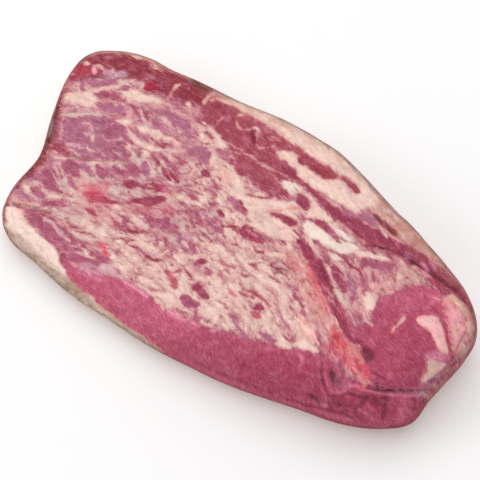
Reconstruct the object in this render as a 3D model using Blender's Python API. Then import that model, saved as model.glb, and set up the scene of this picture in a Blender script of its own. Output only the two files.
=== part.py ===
"""A whole raw beef brisket, fat side down, pressed tight in its clear shrink film.

The brisket is one solid. +X runs along it from the thin flat end to the thick point end, +Y runs
across it, +Z is up, and the origin is on the table under the middle of the brisket.

Its form is a block that is drawn out to the plan outline: the top follows the thickness of the two
muscles, the flank swells out to a rim all round, and the underside is flat where it rests. Furrows
and pads then shape the top along the seams between the muscles and the fat.
"""

import math

import bmesh
import bpy
import numpy as np

MM = 0.001

# Driving sizes.
LENGTH = 460 * MM
WIDTH = 250 * MM
FLAT_END_THICKNESS = 47 * MM
POINT_END_THICKNESS = 84 * MM
CROWN_DROP = 0.10  # share of the thickness that the top loses from the middle to the long sides

# The thickness grows from the flat end to the point end between these two places along the length.
TAPER_START_X = -190 * MM
TAPER_END_X = 150 * MM

# How fine the block is: faces along, across, and up its flank, most of them above the rim.
FACES_ALONG, FACES_ACROSS, FACES_UP = 58, 36, 12
RIM_LEVEL = -0.5  # where the rim runs on the block's flank, from -1 at its foot to 1 at its top
CORNER_SLOPE = 0.36  # the block's corners go to 20 degrees on either side of each end

# The plan outline: the direction from the middle in degrees, and the distance to the rim in mm.
OUTLINE = (
    (0, 229), (6, 232), (12, 232), (18, 218), (24, 195),  # the blunt point end
    (36, 159), (54, 135), (78, 125), (102, 126), (126, 142),  # the far side, with the fat rim
    (144, 182), (150, 207), (156, 226), (162, 238), (168, 233),  # the far corner of the flat end
    (180, 212), (192, 199), (204, 211), (210, 213), (216, 203),  # the hollow flat end
    (222, 182), (234, 158), (252, 133), (282, 125), (306, 139),  # the near side, with the lean face
    (324, 165), (336, 200), (342, 218), (348, 231), (354, 228),  # the near corner of the point end
)  # fmt: skip

# The flank: the direction in degrees, how far the rim stands out past the top's edge in mm, and the
# rim's height as a share of the thickness. The near side slopes out low, the far side is rounded.
FLANK = (
    (0, 34, 0.36), (35, 32, 0.42), (65, 30, 0.48), (90, 30, 0.50),
    (120, 28, 0.50), (150, 24, 0.48), (180, 22, 0.42), (205, 28, 0.36),
    (235, 36, 0.30), (270, 42, 0.24), (300, 50, 0.24), (325, 46, 0.28),
)  # fmt: skip
UNDERSIDE_INSET = 26 * MM  # from the rim in to the flat that the brisket rests on
FLANK_POWER = 2.2  # 2 is an elliptical flank, and more is a squarer one

# Furrows (below 0) and ridges (above 0) on the top: their height, half width and route, all in mm.
FURROWS = {
    "seam_of_flat_and_point": (-3.2, 14, ((-33, 41), (12, 24), (54, 9), (86, -6), (119, -29), (140, -48))),
    "lean_ridge_beside_seam": (2.0, 9, ((66, 14), (97, 0), (131, -16), (153, -27))),
    "groove_inside_far_rim": (-3.2, 12, ((62, 57), (99, 50), (133, 53), (165, 52), (190, 46))),
    "valley_across_flat": (-1.8, 18, ((-100, -52), (-64, -38), (-21, -22), (33, -6))),
    "upper_membrane_hollow": (-1.6, 15, ((-190, 20), (-150, 34), (-100, 50), (-60, 56))),
    "band_crease": (-2.4, 11, ((173, -69), (190, -62), (210, -50), (225, -35))),
    "fold_under_band_crease": (1.5, 9, ((178, -82), (196, -74), (214, -60), (232, -42))),
    "upright_fold": (1.2, 8, ((140, -60), (151, -73), (160, -84))),
    "flat_end_crease": (-1.8, 10, ((-176, -94), (-160, -91), (-141, -84), (-112, -80))),
    "crease_inside_point_rim": (-1.8, 9, ((203, 28), (214, 12), (224, 2))),
    "lean_face_ledge": (-1.4, 8, ((20, -123), (79, -113), (115, -104), (145, -94), (176, -86))),
}  # fmt: skip

# Fat pads, bosses and pits: their height, half length, half width, turn in degrees and place in mm.
PADS = {
    "long_fat_pad": (2.2, 40, 9, 0, (64, 64)),
    "upper_fat_pad": (1.6, 34, 8, -8, (40, 80)),
    "far_corner_knob": (3.0, 15, 12, 20, (86, 84)),
    "fat_pad_beside_seam": (2.0, 26, 10, 22, (24, 30)),
    "fat_pad_between_lean_strips": (1.8, 34, 9, 18, (92, 31)),
    "lower_fat_swell": (1.6, 46, 16, 4, (20, -84)),
    "flat_end_fat_swell": (2.4, 40, 14, -22, (-140, -108)),
    "point_boss": (2.6, 34, 26, 0, (186, -14)),
    "point_end_pad": (1.6, 20, 8, -10, (206, 10)),
    "far_rim_lump_middle": (2.4, 18, 12, -5, (28, 108)),
    "far_rim_lump_point": (2.6, 20, 12, -25, (126, 84)),
    "pit_in_seam": (-3.2, 12, 12, 0, (169, -40)),
    "dimple_beside_fold": (-3.0, 18, 14, -60, (156, -70)),
    "dimple_on_lean_face": (-1.8, 12, 11, 0, (154, -92)),
    "hollow_on_lean_face": (-1.8, 12, 15, 30, (206, -66)),
}  # fmt: skip

# Slow unevenness of the whole top: height in mm, wave length in mm, direction and phase in degrees.
SWELLS = ((0.9, 74, 20, 40), (0.7, 52, 105, 200), (0.5, 38, 65, 310), (0.35, 27, 150, 90))

RAW_BEEF = (0.48, 0.13, 0.17, 1.0)
RAW_BEEF_ROUGHNESS = 0.4


def clear_scene():
    for obj in list(bpy.data.objects):
        bpy.data.objects.remove(obj)


def ease(start, end, x):
    """0 before start and 1 after end, with a smooth step between."""
    t = np.clip((x - start) / (end - start), 0.0, 1.0)
    return t * t * (3 - 2 * t)


def around(direction, knots, values):
    """A smooth closed curve of values through knots, both in degrees round the brisket."""
    knots = np.array(knots, float)
    values = np.array(values, float)
    knots = np.concatenate([knots[-2:] - 360, knots, knots[:2] + 360])
    values = np.concatenate([values[-2:], values, values[:2]])
    slopes = np.zeros_like(values)
    slopes[1:-1] = (values[2:] - values[:-2]) / (knots[2:] - knots[:-2])
    direction = np.mod(direction, 360)
    i = np.clip(np.searchsorted(knots, direction, side="right") - 1, 1, len(knots) - 3)
    step = knots[i + 1] - knots[i]
    s = (direction - knots[i]) / step
    return (
        (2 * s**3 - 3 * s**2 + 1) * values[i]
        + (s**3 - 2 * s**2 + s) * step * slopes[i]
        + (3 * s**2 - 2 * s**3) * values[i + 1]
        + (s**3 - s**2) * step * slopes[i + 1]
    )


def thickness(x, y):
    """The height of the top above the table, before its furrows and pads."""
    along = FLAT_END_THICKNESS + (POINT_END_THICKNESS - FLAT_END_THICKNESS) * ease(
        TAPER_START_X, TAPER_END_X, x
    )
    return along * (1 - CROWN_DROP * np.clip(y / (WIDTH / 2), -1, 1) ** 2)


def brisket_form(block):
    """Takes the points of a block from -1 to 1 to their places on the plain brisket."""
    u, v, w = block.T
    # The block's square becomes a disc, and the disc is drawn out to the outline. The slope puts
    # the block's corners where the outline has its own.
    disc_x = u * np.sqrt(1 - v**2 / 2)
    disc_y = v * np.sqrt(1 - u**2 / 2)
    reach = np.hypot(disc_x, disc_y)
    angle = np.arctan2(disc_y * CORNER_SLOPE, disc_x)
    direction = np.degrees(angle)
    radius = around(direction, *zip(*OUTLINE)) * MM
    flank_direction, flank_inset, flank_rim = zip(*FLANK)
    inset = around(direction, flank_direction, flank_inset) * MM
    rim = around(direction, flank_direction, flank_rim)

    on_flank = np.maximum(abs(u), abs(v)) > 1 - 1e-6
    below_rim = w < RIM_LEVEL
    inset = np.where(below_rim, UNDERSIDE_INSET, inset)
    half_flank = np.where(below_rim, 1 + RIM_LEVEL, 1 - RIM_LEVEL)
    turn = (w - RIM_LEVEL) / half_flank * math.pi / 2
    outward = np.maximum(np.cos(turn), 0) ** (2 / FLANK_POWER)
    upward = np.where(on_flank, abs(np.sin(turn)) ** (2 / FLANK_POWER), 1.0)
    shrink = inset / radius
    scale = np.where(on_flank, 1 - shrink * (1 - outward), (1 - shrink) * reach)
    x = radius * scale * np.cos(angle)
    y = radius * scale * np.sin(angle)

    top = thickness(x, y)
    rim_height = rim * top
    z = np.where(below_rim, rim_height * (1 - upward), rim_height + (top - rim_height) * upward)
    return np.stack([x, y, z], axis=1)


def distance_to_route(x, y, route):
    """How far each point lies from a route on the plan, in metres."""
    nearest = np.full(len(x), np.inf)
    for start, end in zip(route, route[1:]):
        start, end = np.array(start) * MM, np.array(end) * MM
        run = end - start
        along = ((x - start[0]) * run[0] + (y - start[1]) * run[1]) / (run @ run)
        along = np.clip(along, 0, 1)
        gap = np.hypot(x - start[0] - along * run[0], y - start[1] - along * run[1])
        nearest = np.minimum(nearest, gap)
    return nearest


def bell(distance):
    """1 at distance 0, a half at 0.6 and almost nothing past 1.5."""
    return np.exp(-2 * distance**2)


def relief(x, y):
    """How far the skin of the top stands above the plain form, in metres."""
    height = np.zeros(len(x))
    for rise, half_width, route in FURROWS.values():
        height += rise * MM * bell(distance_to_route(x, y, route) / (half_width * MM))
    for rise, half_length, half_width, turn, place in PADS.values():
        c, s = math.cos(math.radians(turn)), math.sin(math.radians(turn))
        dx, dy = x - place[0] * MM, y - place[1] * MM
        along = (c * dx + s * dy) / (half_length * MM)
        across = (c * dy - s * dx) / (half_width * MM)
        height += rise * MM * bell(np.hypot(along, across))
    return height


def unevenness(x, y):
    """The slow waves of the top, in metres."""
    height = np.zeros(len(x))
    for rise, wave_length, direction, phase in SWELLS:
        c, s = math.cos(math.radians(direction)), math.sin(math.radians(direction))
        wave = (c * x + s * y) / (wave_length * MM) + phase / 360
        height += rise * MM * np.sin(2 * math.pi * wave)
    return height


def edges_along(bm, axis):
    """The edges of a block that run along one axis."""
    found = []
    for edge in bm.edges:
        run = edge.verts[0].co - edge.verts[1].co
        if abs(run[axis]) > 0.9 * run.length:
            found.append(edge)
    return found


def fine_block():
    """A block from -1 to 1 on each axis, cut into an even grid of faces."""
    bm = bmesh.new()
    bmesh.ops.create_cube(bm, size=2)
    for axis, faces in enumerate((FACES_ALONG, FACES_ACROSS, FACES_UP)):
        bmesh.ops.subdivide_edges(
            bm, edges=edges_along(bm, axis), cuts=faces - 1, use_grid_fill=True
        )
    return bm


def place_points(bm, points):
    for vert, point in zip(bm.verts, points):
        vert.co = point


def make_brisket(collection):
    bm = fine_block()
    block = np.array([vert.co for vert in bm.verts])
    form = brisket_form(block)
    place_points(bm, form)
    bm.normal_update()
    outward = np.array([vert.normal for vert in bm.verts])

    # The relief covers the top and the flank down to the rim, and the waves the top alone, so that
    # the outline stays smooth and the underside flat.
    x, y, level = form[:, 0], form[:, 1], block[:, 2]
    rise = relief(x, y) * ease(RIM_LEVEL - 0.1, RIM_LEVEL + 0.5, level)
    rise += unevenness(x, y) * ease(0.0, 0.9, level)
    form += outward * rise[:, None]
    # The origin is under the middle, and the outline fills its length and width exactly.
    low, high = form[:, :2].min(axis=0), form[:, :2].max(axis=0)
    form[:, :2] = (form[:, :2] - (low + high) / 2) * (LENGTH, WIDTH) / (high - low)
    place_points(bm, form)

    mesh = bpy.data.meshes.new("brisket")
    bm.to_mesh(mesh)
    bm.free()
    mesh.shade_smooth()
    mesh.materials.append(raw_beef())
    brisket = bpy.data.objects.new("brisket", mesh)
    collection.objects.link(brisket)
    return brisket


def raw_beef():
    material = bpy.data.materials.new("raw_beef")
    material.use_nodes = True
    shader = material.node_tree.nodes["Principled BSDF"]
    shader.inputs["Base Color"].default_value = RAW_BEEF
    shader.inputs["Roughness"].default_value = RAW_BEEF_ROUGHNESS
    shader.inputs["Metallic"].default_value = 0.0
    material.diffuse_color = RAW_BEEF
    return material


def main():
    clear_scene()
    collection = bpy.data.collections.new("beef_brisket")
    bpy.context.scene.collection.children.link(collection)
    make_brisket(collection)


main()
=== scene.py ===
"""The look of a whole raw beef brisket in clear shrink film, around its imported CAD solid.

The meat is one fine skin, drawn onto the CAD solid. Its fat, lean and membranes are painted from
shapes that are named in pixels of the photograph, and its finer marbling comes from noise that
follows the grain of the meat. A thin clear film lies over it.
"""

import math

import bpy
import numpy as np
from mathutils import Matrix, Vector
from mathutils.bvhtree import BVHTree


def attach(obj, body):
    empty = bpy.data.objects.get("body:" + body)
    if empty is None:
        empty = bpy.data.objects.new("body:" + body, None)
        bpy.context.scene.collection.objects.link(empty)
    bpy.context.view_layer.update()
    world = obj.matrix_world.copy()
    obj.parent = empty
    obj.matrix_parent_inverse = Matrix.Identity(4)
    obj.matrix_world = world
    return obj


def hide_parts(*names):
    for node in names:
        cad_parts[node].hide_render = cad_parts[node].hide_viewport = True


MM = 0.001
TINY = 1e-9  # allows for rounding

# The camera, which the outline in the photograph fits best.
PHOTO_PIXELS = 480
CAMERA_AZIMUTH, CAMERA_ELEVATION = 36.9, 63.8  # degrees round from the front, and up
CAMERA_DISTANCE = 1.6
CAMERA_TARGET = (0.0043, 0.0038, 0.030)
PIXELS_PER_METRE = 1121  # at the target
SENSOR_MM = 36

# The skin: cells along, across and up the flank, and the rays that draw it onto the CAD solid.
MEAT_CELLS = (312, 156, 40)
FILM_CELLS = (150, 75, 30)
UNDERSIDE_CELL = 3  # cells of the flat underside that are merged into one, each way
CORNER_SLOPE = 0.36  # puts the skin's corners where the brisket has its own
HALF_LENGTH = 230 * MM
RIM_X = 200 * MM  # roughly where the rim is along the brisket, seen from its middle
RIM_RAYS = 721
RAY_ROOT_FROM_RIM = 45 * MM
RAY_ROOT_HEIGHT = (24 * MM, 38 * MM)  # at the flat end and at the point end
TOP_TILT, UNDER_TILT = 55, 60  # degrees, where the flank's rays meet those of the top and underside
TILT_START = 0.45  # the share of the way to the rim where rays start to lean out
SMOOTHING_STEPS, NORMAL_STEPS = 24, 4

# Millimetres that the skin stands out, and the pixels along and across a fibre.
FAT_RISE, FIBRE_RISE, FILM_RISE = 0.35, 0.25, 1.0
FIBRE = (16, 6)
FAT_BORDER = (-1.5, 2.5)  # pixels from lean to fat over which the fat rises
FOOT = 6 * MM  # the height below which the relief fades out

# The fat cap, which the photograph doesn't show, wrapped up round the edges.
EDGE_RADIUS = 170 * MM  # turns an angle round the brisket into a length
CAP_LUMP, EDGE_LUMP, EDGE_LUMP_SHARE = (45 * MM, 28 * MM), (30 * MM, 12 * MM), 0.6
CAP_DEPTH, FLECK_DEPTH = 6, 10  # of the fat, and how much its flecks of lean take from it
CAP_MOTTLE = 3.0
FLECK_HEIGHT = (0.16, 0.3)  # shares of the thickness between which the flecks set in
FLECK_LUMPS = (-0.1, 0.35)  # and the lumps between which they do
UNDERSIDE_TURN = (0.35, 0.75)  # of a normal's height, from the flank's grain to the underside's

# How squarely the skin faces the camera, from -1 to 1, where one look turns into the next.
SEEN_FACING = (-0.25, -0.02)
# painted shade along the outline: where it sets in and ends, by facing, and how strong it is
OUTLINE_SHADE_SETS_IN, OUTLINE_SHADE_ENDS, OUTLINE_SHADE_SHARE = (-0.16, 0.02), (0.48, 0.1), 0.9
GRAIN_FACING = 0.24

# Colours, as they show in the photograph.
COLOURS = {
    # lean
    "dark_red": (150, 54, 68), "red": (164, 70, 86), "wine": (152, 56, 82), "mauve": (166, 84, 108),
    "lilac": (174, 104, 128), "pale_lilac": (192, 140, 158), "rose": (216, 106, 134),
    "band": (192, 84, 110), "band_dark": (178, 60, 90), "crimson": (168, 34, 64),
    "black_red": (74, 8, 24), "deep_red": (122, 30, 52), "dome": (182, 74, 102),
    # fat
    "cream": (226, 189, 177), "white": (247, 220, 207), "pink_fat": (214, 156, 152),
    "grey_fat": (206, 176, 168), "pale_grey": (228, 208, 198), "green_fat": (198, 168, 148),
    "hot_pink": (242, 150, 178), "salmon": (220, 138, 132), "tan": (206, 168, 138),
    "olive": (140, 120, 94), "brown": (104, 70, 48), "blood": (202, 72, 84),
    "raw_red": (212, 80, 102), "lilac_fat": (204, 162, 172), "film_grey": (150, 144, 152),
    "rosy_fat": (244, 184, 174), "rind": (210, 162, 140), "umber": (66, 34, 28),
    "flank_red": (146, 58, 66), "steel": (66, 72, 104), "rust": (186, 112, 84),
    # between the two, and the fine webs over the lean
    "raw_edge": (186, 88, 100), "fresh_cut": (158, 50, 64), "pearl": (208, 166, 174),
}  # fmt: skip

# The way the grain of the meat runs: a pixel, and degrees clockwise from straight right.
GRAIN = (
    (85, 85, -4), (130, 90, 0), (110, 112, 6), (90, 140, 24), (60, 175, 60), (105, 172, 62),
    (150, 168, 52), (175, 120, 28), (130, 60, 18), (200, 90, 24), (185, 155, 34), (150, 190, 6),
    (90, 195, 16), (40, 195, 30), (35, 230, 32), (80, 240, 30), (130, 225, 34), (205, 222, 42),
    (130, 270, 32), (190, 265, 34), (230, 180, 40), (260, 150, 36), (250, 240, 36), (250, 290, 34),
    (210, 310, 30), (290, 310, 48), (280, 270, 36), (310, 255, 58), (330, 290, 60), (350, 330, 56),
    (330, 200, 42), (380, 245, 38), (430, 275, 42), (370, 290, 64), (400, 270, 24), (415, 320, 14),
    (400, 350, 8), (460, 320, 60), (340, 160, 38), (250, 110, 28), (420, 235, 44), (330, 350, 70),
    (110, 300, 80), (160, 330, 84), (220, 352, 90), (280, 370, 80), (330, 385, 74), (390, 405, 60),
)  # fmt: skip
# The grid on which the grain is worked out: its knots each way, and the pixels between and beyond.
GRAIN_KNOTS, GRAIN_CELL, GRAIN_MARGIN = 41, 13.0, 20
GRAIN_BLEND = 120.0  # square pixels: how softly one direction turns into the next
GRAIN_STEPS, GRAIN_PULL = 3000, 0.9
GRAIN_PER_METRE = 1100  # pixels of grain, where the photograph doesn't show the meat

# The noise that the shapes are made with.
LATTICE = 256  # units after which it repeats
NOISE_LAYERS, NOISE_FADE = 3, 0.55
SECOND_SEED = 50
WANDERS = ((1.3, 13, 3), (1.2, 4.5, 9))  # reach and size in pixels, and seed

# The studio.
FLOOR_REACH, FLOOR_DROP = 6.0, 0.5 * MM
SKY_STRENGTH = 0.57


def tone(name):
    """A colour in the linear numbers that materials take."""
    shown = np.array(COLOURS[name]) / 255
    return np.where(shown <= 0.04045, shown / 12.92, ((shown + 0.055) / 1.055) ** 2.4)


def ease(start, end, x):
    """0 before start and 1 after end, with a smooth step between."""
    t = np.clip((x - start) / (end - start), 0.0, 1.0)
    return t * t * (3 - 2 * t)


# ---------------------------------------------------------------- camera


def camera_axes():
    """The directions to the camera's right, up in its picture, and back from what it looks at."""
    turn, lift = math.radians(CAMERA_AZIMUTH), math.radians(CAMERA_ELEVATION)
    back = Vector((math.sin(turn) * math.cos(lift), -math.cos(turn) * math.cos(lift), math.sin(lift)))
    right = Vector((math.cos(turn), math.sin(turn), 0))
    return right, back.cross(right), back


def camera_place():
    return Vector(CAMERA_TARGET) + CAMERA_DISTANCE * camera_axes()[2]


def photo_pixels(points):
    """Where points of the brisket show in the photograph."""
    right, up, back = (np.array(axis) for axis in camera_axes())
    seen_from = points - np.array(camera_place())
    scale = PIXELS_PER_METRE * CAMERA_DISTANCE / -(seen_from @ back)
    middle = PHOTO_PIXELS / 2
    return np.stack(
        [middle + scale * (seen_from @ right), middle - scale * (seen_from @ up)], axis=1
    )


def add_camera():
    back = camera_axes()[2]
    data = bpy.data.cameras.new("camera")
    data.sensor_width = SENSOR_MM
    data.lens = PIXELS_PER_METRE * CAMERA_DISTANCE / PHOTO_PIXELS * SENSOR_MM
    camera = bpy.data.objects.new("camera", data)
    camera.location = camera_place()
    camera.rotation_euler = back.to_track_quat("Z", "Y").to_euler()
    bpy.context.scene.collection.objects.link(camera)
    bpy.context.scene.camera = camera


# ---------------------------------------------------------------- skin


def block_skin(cells):
    """The skin of a block from -1 to 1: its points and its faces of four corners.

    The faces of the underside come last, row by row.
    """
    cells = np.array(cells)
    faces = []
    for axis, far_side in ((0, 0), (0, 1), (1, 0), (1, 1), (2, 1), (2, 0)):
        one, other = (axis + 1) % 3, (axis + 2) % 3
        i, j = np.meshgrid(np.arange(cells[one]), np.arange(cells[other]), indexing="ij")
        corners = np.zeros((i.size, 4, 3), int)
        for corner, (step_i, step_j) in enumerate(((0, 0), (1, 0), (1, 1), (0, 1))):
            corners[:, corner, one] = i.ravel() + step_i
            corners[:, corner, other] = j.ravel() + step_j
        corners[:, :, axis] = cells[axis] * far_side
        faces.append(corners if far_side else corners[:, ::-1])
    faces = np.concatenate(faces)
    key = (faces[..., 0] * (cells[1] + 1) + faces[..., 1]) * (cells[2] + 1) + faces[..., 2]
    _, first, index = np.unique(key, return_index=True, return_inverse=True)
    return faces.reshape(-1, 3)[first] * 2.0 / cells - 1.0, index.reshape(-1, 4)


def cad_surface():
    """The CAD solid as a tree for rays."""
    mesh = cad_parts["brisket"].data
    points = np.zeros(len(mesh.vertices) * 3)
    mesh.vertices.foreach_get("co", points)
    mesh.calc_loop_triangles()
    triangles = [tuple(triangle.vertices) for triangle in mesh.loop_triangles]
    return BVHTree.FromPolygons([tuple(point) for point in points.reshape(-1, 3)], triangles)


def rim_height(x):
    """The height of the rim, which grows from the flat end to the point end."""
    return np.interp(x, (-HALF_LENGTH, HALF_LENGTH), RAY_ROOT_HEIGHT)


def rim_reach(tree, angle):
    """How far the flank is from the middle, at the height of its rim."""
    ray = Vector((math.cos(angle), math.sin(angle), 0))
    place, _, _, _ = tree.ray_cast(Vector((0, 0, rim_height(RIM_X * ray.x))), ray)
    return math.hypot(place.x, place.y)


def draw_onto_cad(block, tree):
    """Takes the points of a block's skin out to the CAD solid, along rays from its inside."""
    u, v, w = block.T
    disc_x, disc_y = u * np.sqrt(1 - v**2 / 2), v * np.sqrt(1 - u**2 / 2)
    reach = np.hypot(disc_x, disc_y)
    turn = np.arctan2(disc_y * CORNER_SLOPE, disc_x)
    rim_turns = np.linspace(-math.pi, math.pi, RIM_RAYS)
    rim = [rim_reach(tree, angle) for angle in rim_turns]
    root = np.interp(turn, rim_turns, rim) - RAY_ROOT_FROM_RIM

    on_flank = np.maximum(abs(u), abs(v)) > 1 - TINY
    to_rim = ease(TILT_START, 1.0, reach)
    tilt = np.where(
        on_flank,
        np.where(w > 0, TOP_TILT * w, UNDER_TILT * w),
        np.where(w > 0, 90 - (90 - TOP_TILT) * to_rim, -90 + (90 - UNDER_TILT) * to_rim),
    )
    reach = np.where(on_flank, 1.0, reach)
    x, y = root * reach * np.cos(turn), root * reach * np.sin(turn)
    roots = np.stack([x, y, rim_height(x)], axis=1)
    level, rise = np.cos(np.radians(tilt)), np.sin(np.radians(tilt))
    rays = np.stack([level * np.cos(turn), level * np.sin(turn), rise], axis=1)
    hits = np.empty_like(roots)
    for i, (origin, ray) in enumerate(zip(roots.tolist(), rays.tolist())):
        hits[i] = tree.ray_cast(origin, ray)[0]
    return hits


class Skin:
    """A closed smooth skin of four-cornered faces, drawn onto the CAD solid, and its normals."""

    def __init__(self, cells, tree):
        self.cells = cells
        block, self.faces = block_skin(cells)
        self.points = draw_onto_cad(block, tree)
        starts = self.faces.ravel()
        ends = np.roll(self.faces, -1, axis=1).ravel()
        self.starts, self.ends = np.concatenate([starts, ends]), np.concatenate([ends, starts])
        self.count = len(self.points)
        self.degree = np.bincount(self.starts, minlength=self.count)
        self.points = self.smoothed(self.points, SMOOTHING_STEPS)
        self.normals = self.smoothed(self.sharp_normals(), NORMAL_STEPS)

    def smoothed(self, values, steps):
        """Values at the points, evened out with their neighbours."""
        for _ in range(steps):
            columns = values.reshape(self.count, -1)
            near = [
                np.bincount(self.starts, column[self.ends], self.count) for column in columns.T
            ]
            near = np.stack(near, axis=1) / self.degree[:, None]
            values = (0.5 * columns + 0.5 * near).reshape(values.shape)
        return values

    def sharp_normals(self):
        """The mean direction of the faces round each point."""
        corners = self.points[self.faces]
        facing = np.cross(corners[:, 2] - corners[:, 0], corners[:, 3] - corners[:, 1])
        total = np.zeros_like(self.points)
        for corner in range(4):
            for axis in range(3):
                total[:, axis] += np.bincount(
                    self.faces[:, corner], facing[:, axis], self.count
                )
        return total / np.linalg.norm(total, axis=1, keepdims=True)

    def facing(self):
        """How squarely each point faces the camera: 1 is straight on, and below 0 is away."""
        to_camera = np.array(camera_place()) - self.points
        to_camera /= np.linalg.norm(to_camera, axis=1, keepdims=True)
        return (self.normals * to_camera).sum(axis=1)

    def raise_by(self, rise):
        """Moves the points out by so many millimetres, but none below the table."""
        self.points = self.points + self.normals * np.reshape(rise * MM, (-1, 1))
        self.points[:, 2] = np.maximum(self.points[:, 2], 0)

    def thinned_faces(self):
        """The faces, with those of the underside merged into larger ones."""
        along, across, _ = self.cells
        step = UNDERSIDE_CELL
        underside = self.faces[-along * across :].reshape(along, across, 4)
        polygons = self.faces[: -along * across].tolist()
        for i in range(0, along, step):
            for j in range(0, across, step):
                block = underside[i : i + step, j : j + step]
                # the corners of a face there: far i near j last, then round by way of near i
                near_j = [block[k, 0, 3] for k in range(step)] + [block[step - 1, 0, 2]]
                far_i = [block[step - 1, k, 2] for k in range(step)] + [block[step - 1, step - 1, 1]]
                far_j = [block[k, step - 1, 1] for k in range(step)][::-1] + [block[0, step - 1, 0]]
                near_i = [block[0, k, 0] for k in range(step)][::-1] + [block[0, 0, 3]]
                ring = []
                for side, on_rim in (
                    (near_j, j == 0),
                    (far_i, i + step == along),
                    (far_j, j + step == across),
                    (near_i, i == 0),
                ):
                    ring += side[:-1] if on_rim else side[:1]
                polygons.append([int(corner) for corner in ring[::-1]])
        return polygons

    def piece(self, name, attributes, material):
        """The skin as an object, with values or colours at its points."""
        polygons = self.thinned_faces()
        used = np.unique(np.concatenate(polygons))
        renumbered = np.zeros(self.count, int)
        renumbered[used] = np.arange(len(used))
        renumbered = renumbered.tolist()
        polygons = [[renumbered[corner] for corner in polygon] for polygon in polygons]
        mesh = bpy.data.meshes.new(name)
        mesh.from_pydata(self.points[used].tolist(), [], polygons)
        mesh.shade_smooth()
        for attribute, values in attributes.items():
            values = values[used].astype(np.float32)
            if values.ndim == 1:
                layer = mesh.attributes.new(attribute, "FLOAT", "POINT")
                layer.data.foreach_set("value", values)
            else:
                layer = mesh.attributes.new(attribute, "FLOAT_VECTOR", "POINT")
                layer.data.foreach_set("vector", values.ravel())
        mesh.materials.append(material)
        made = bpy.data.objects.new(name, mesh)
        bpy.context.scene.collection.objects.link(made)
        return made


# ---------------------------------------------------------------- noise and grain


def smooth_noise(x, y, seed):
    """Even noise of about -1 to 1 with features one unit wide."""
    lattice = np.random.default_rng(seed).uniform(-1, 1, (LATTICE, LATTICE))
    i, j = np.floor(x).astype(int), np.floor(y).astype(int)
    fx, fy = (part * part * part * (part * (6 * part - 15) + 10) for part in (x - i, y - j))
    near_i, far_i, near_j, far_j = (place % LATTICE for place in (i, i + 1, j, j + 1))
    near = lattice[near_i, near_j] * (1 - fx) + lattice[far_i, near_j] * fx
    far = lattice[near_i, far_j] * (1 - fx) + lattice[far_i, far_j] * fx
    return near * (1 - fy) + far * fy


def layered_noise(x, y, seed):
    """Noise with finer and fainter noise on top."""
    total, weight = np.zeros_like(x), 0.0
    for layer in range(NOISE_LAYERS):
        total += NOISE_FADE**layer * smooth_noise(x * 2**layer, y * 2**layer, seed + layer)
        weight += NOISE_FADE**layer
    return total / weight


def wander(pixels, reach, size, seed):
    """Small shifts that bend whatever is drawn in pixels."""
    x, y = pixels.T / size
    shifts = [layered_noise(x, y, seed), layered_noise(x, y, seed + SECOND_SEED)]
    return reach * np.stack(shifts, axis=1)


def grain_coordinates(pixels):
    """How far each pixel is along the grain and across it, in pixels.

    The grain's directions are spread over a coarse grid, and the two coordinates are the ones whose
    slopes follow it best.
    """
    size, step = GRAIN_KNOTS, GRAIN_CELL
    ticks = np.arange(size) * step - GRAIN_MARGIN
    grid_x, grid_y = (axis.ravel() for axis in np.meshgrid(ticks, ticks, indexing="ij"))
    x, y, angle = np.array(GRAIN, float).T
    weight = ((grid_x[:, None] - x) ** 2 + (grid_y[:, None] - y) ** 2 + GRAIN_BLEND) ** -1.5
    double = np.radians(2 * angle)
    direction = 0.5 * np.arctan2(
        (weight * np.sin(double)).sum(axis=1), (weight * np.cos(double)).sum(axis=1)
    )
    direction = direction.reshape(size, size)

    by_x, by_y = (direction[1:] + direction[:-1]) / 2, (direction[:, 1:] + direction[:, :-1]) / 2
    step_x = step * np.stack([np.cos(by_x), -np.sin(by_x)], axis=-1)
    step_y = step * np.stack([np.sin(by_y), np.cos(by_y)], axis=-1)
    solved = np.zeros((size, size, 2))
    neighbours = np.zeros((size, size, 1))
    for part in (np.s_[1:], np.s_[:-1], np.s_[:, 1:], np.s_[:, :-1]):
        neighbours[part] += 1
    for _ in range(GRAIN_STEPS):
        pulled = np.zeros_like(solved)
        pulled[1:] += solved[:-1] + step_x
        pulled[:-1] += solved[1:] - step_x
        pulled[:, 1:] += solved[:, :-1] + step_y
        pulled[:, :-1] += solved[:, 1:] - step_y
        solved += GRAIN_PULL * (pulled / neighbours - solved)

    place = np.clip((pixels + GRAIN_MARGIN) / step, 0, size - 1.001)  # inside the last cell
    i, j = place.astype(int).T
    fx, fy = (place - place.astype(int)).T[..., None]
    return (
        (solved[i, j] * (1 - fx) + solved[i + 1, j] * fx) * (1 - fy)
        + (solved[i, j + 1] * (1 - fx) + solved[i + 1, j + 1] * fx) * fy
    )


# ---------------------------------------------------------------- painting


def rounded(points, closed):
    """A line with its corners cut off twice."""
    points = np.array(points, float)
    for _ in range(2):
        after = np.roll(points, -1, axis=0)
        cut = np.stack([0.75 * points + 0.25 * after, 0.25 * points + 0.75 * after], axis=1)
        if closed:
            points = cut.reshape(-1, points.shape[1])
        else:
            inner = cut[:-1].reshape(-1, points.shape[1])[1:-1]
            points = np.concatenate([points[:1], inner, points[-1:]])
    return points


def area(*corners):
    """A closed shape, whose corners are rounded when it is painted."""
    return "area", corners


def stroke(half_width, *points):
    """A line of one half width, or of one for each of its points."""
    widths = half_width if isinstance(half_width, tuple) else (half_width,) * len(points)
    return "stroke", tuple((x, y, width) for (x, y), width in zip(points, widths))


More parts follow.
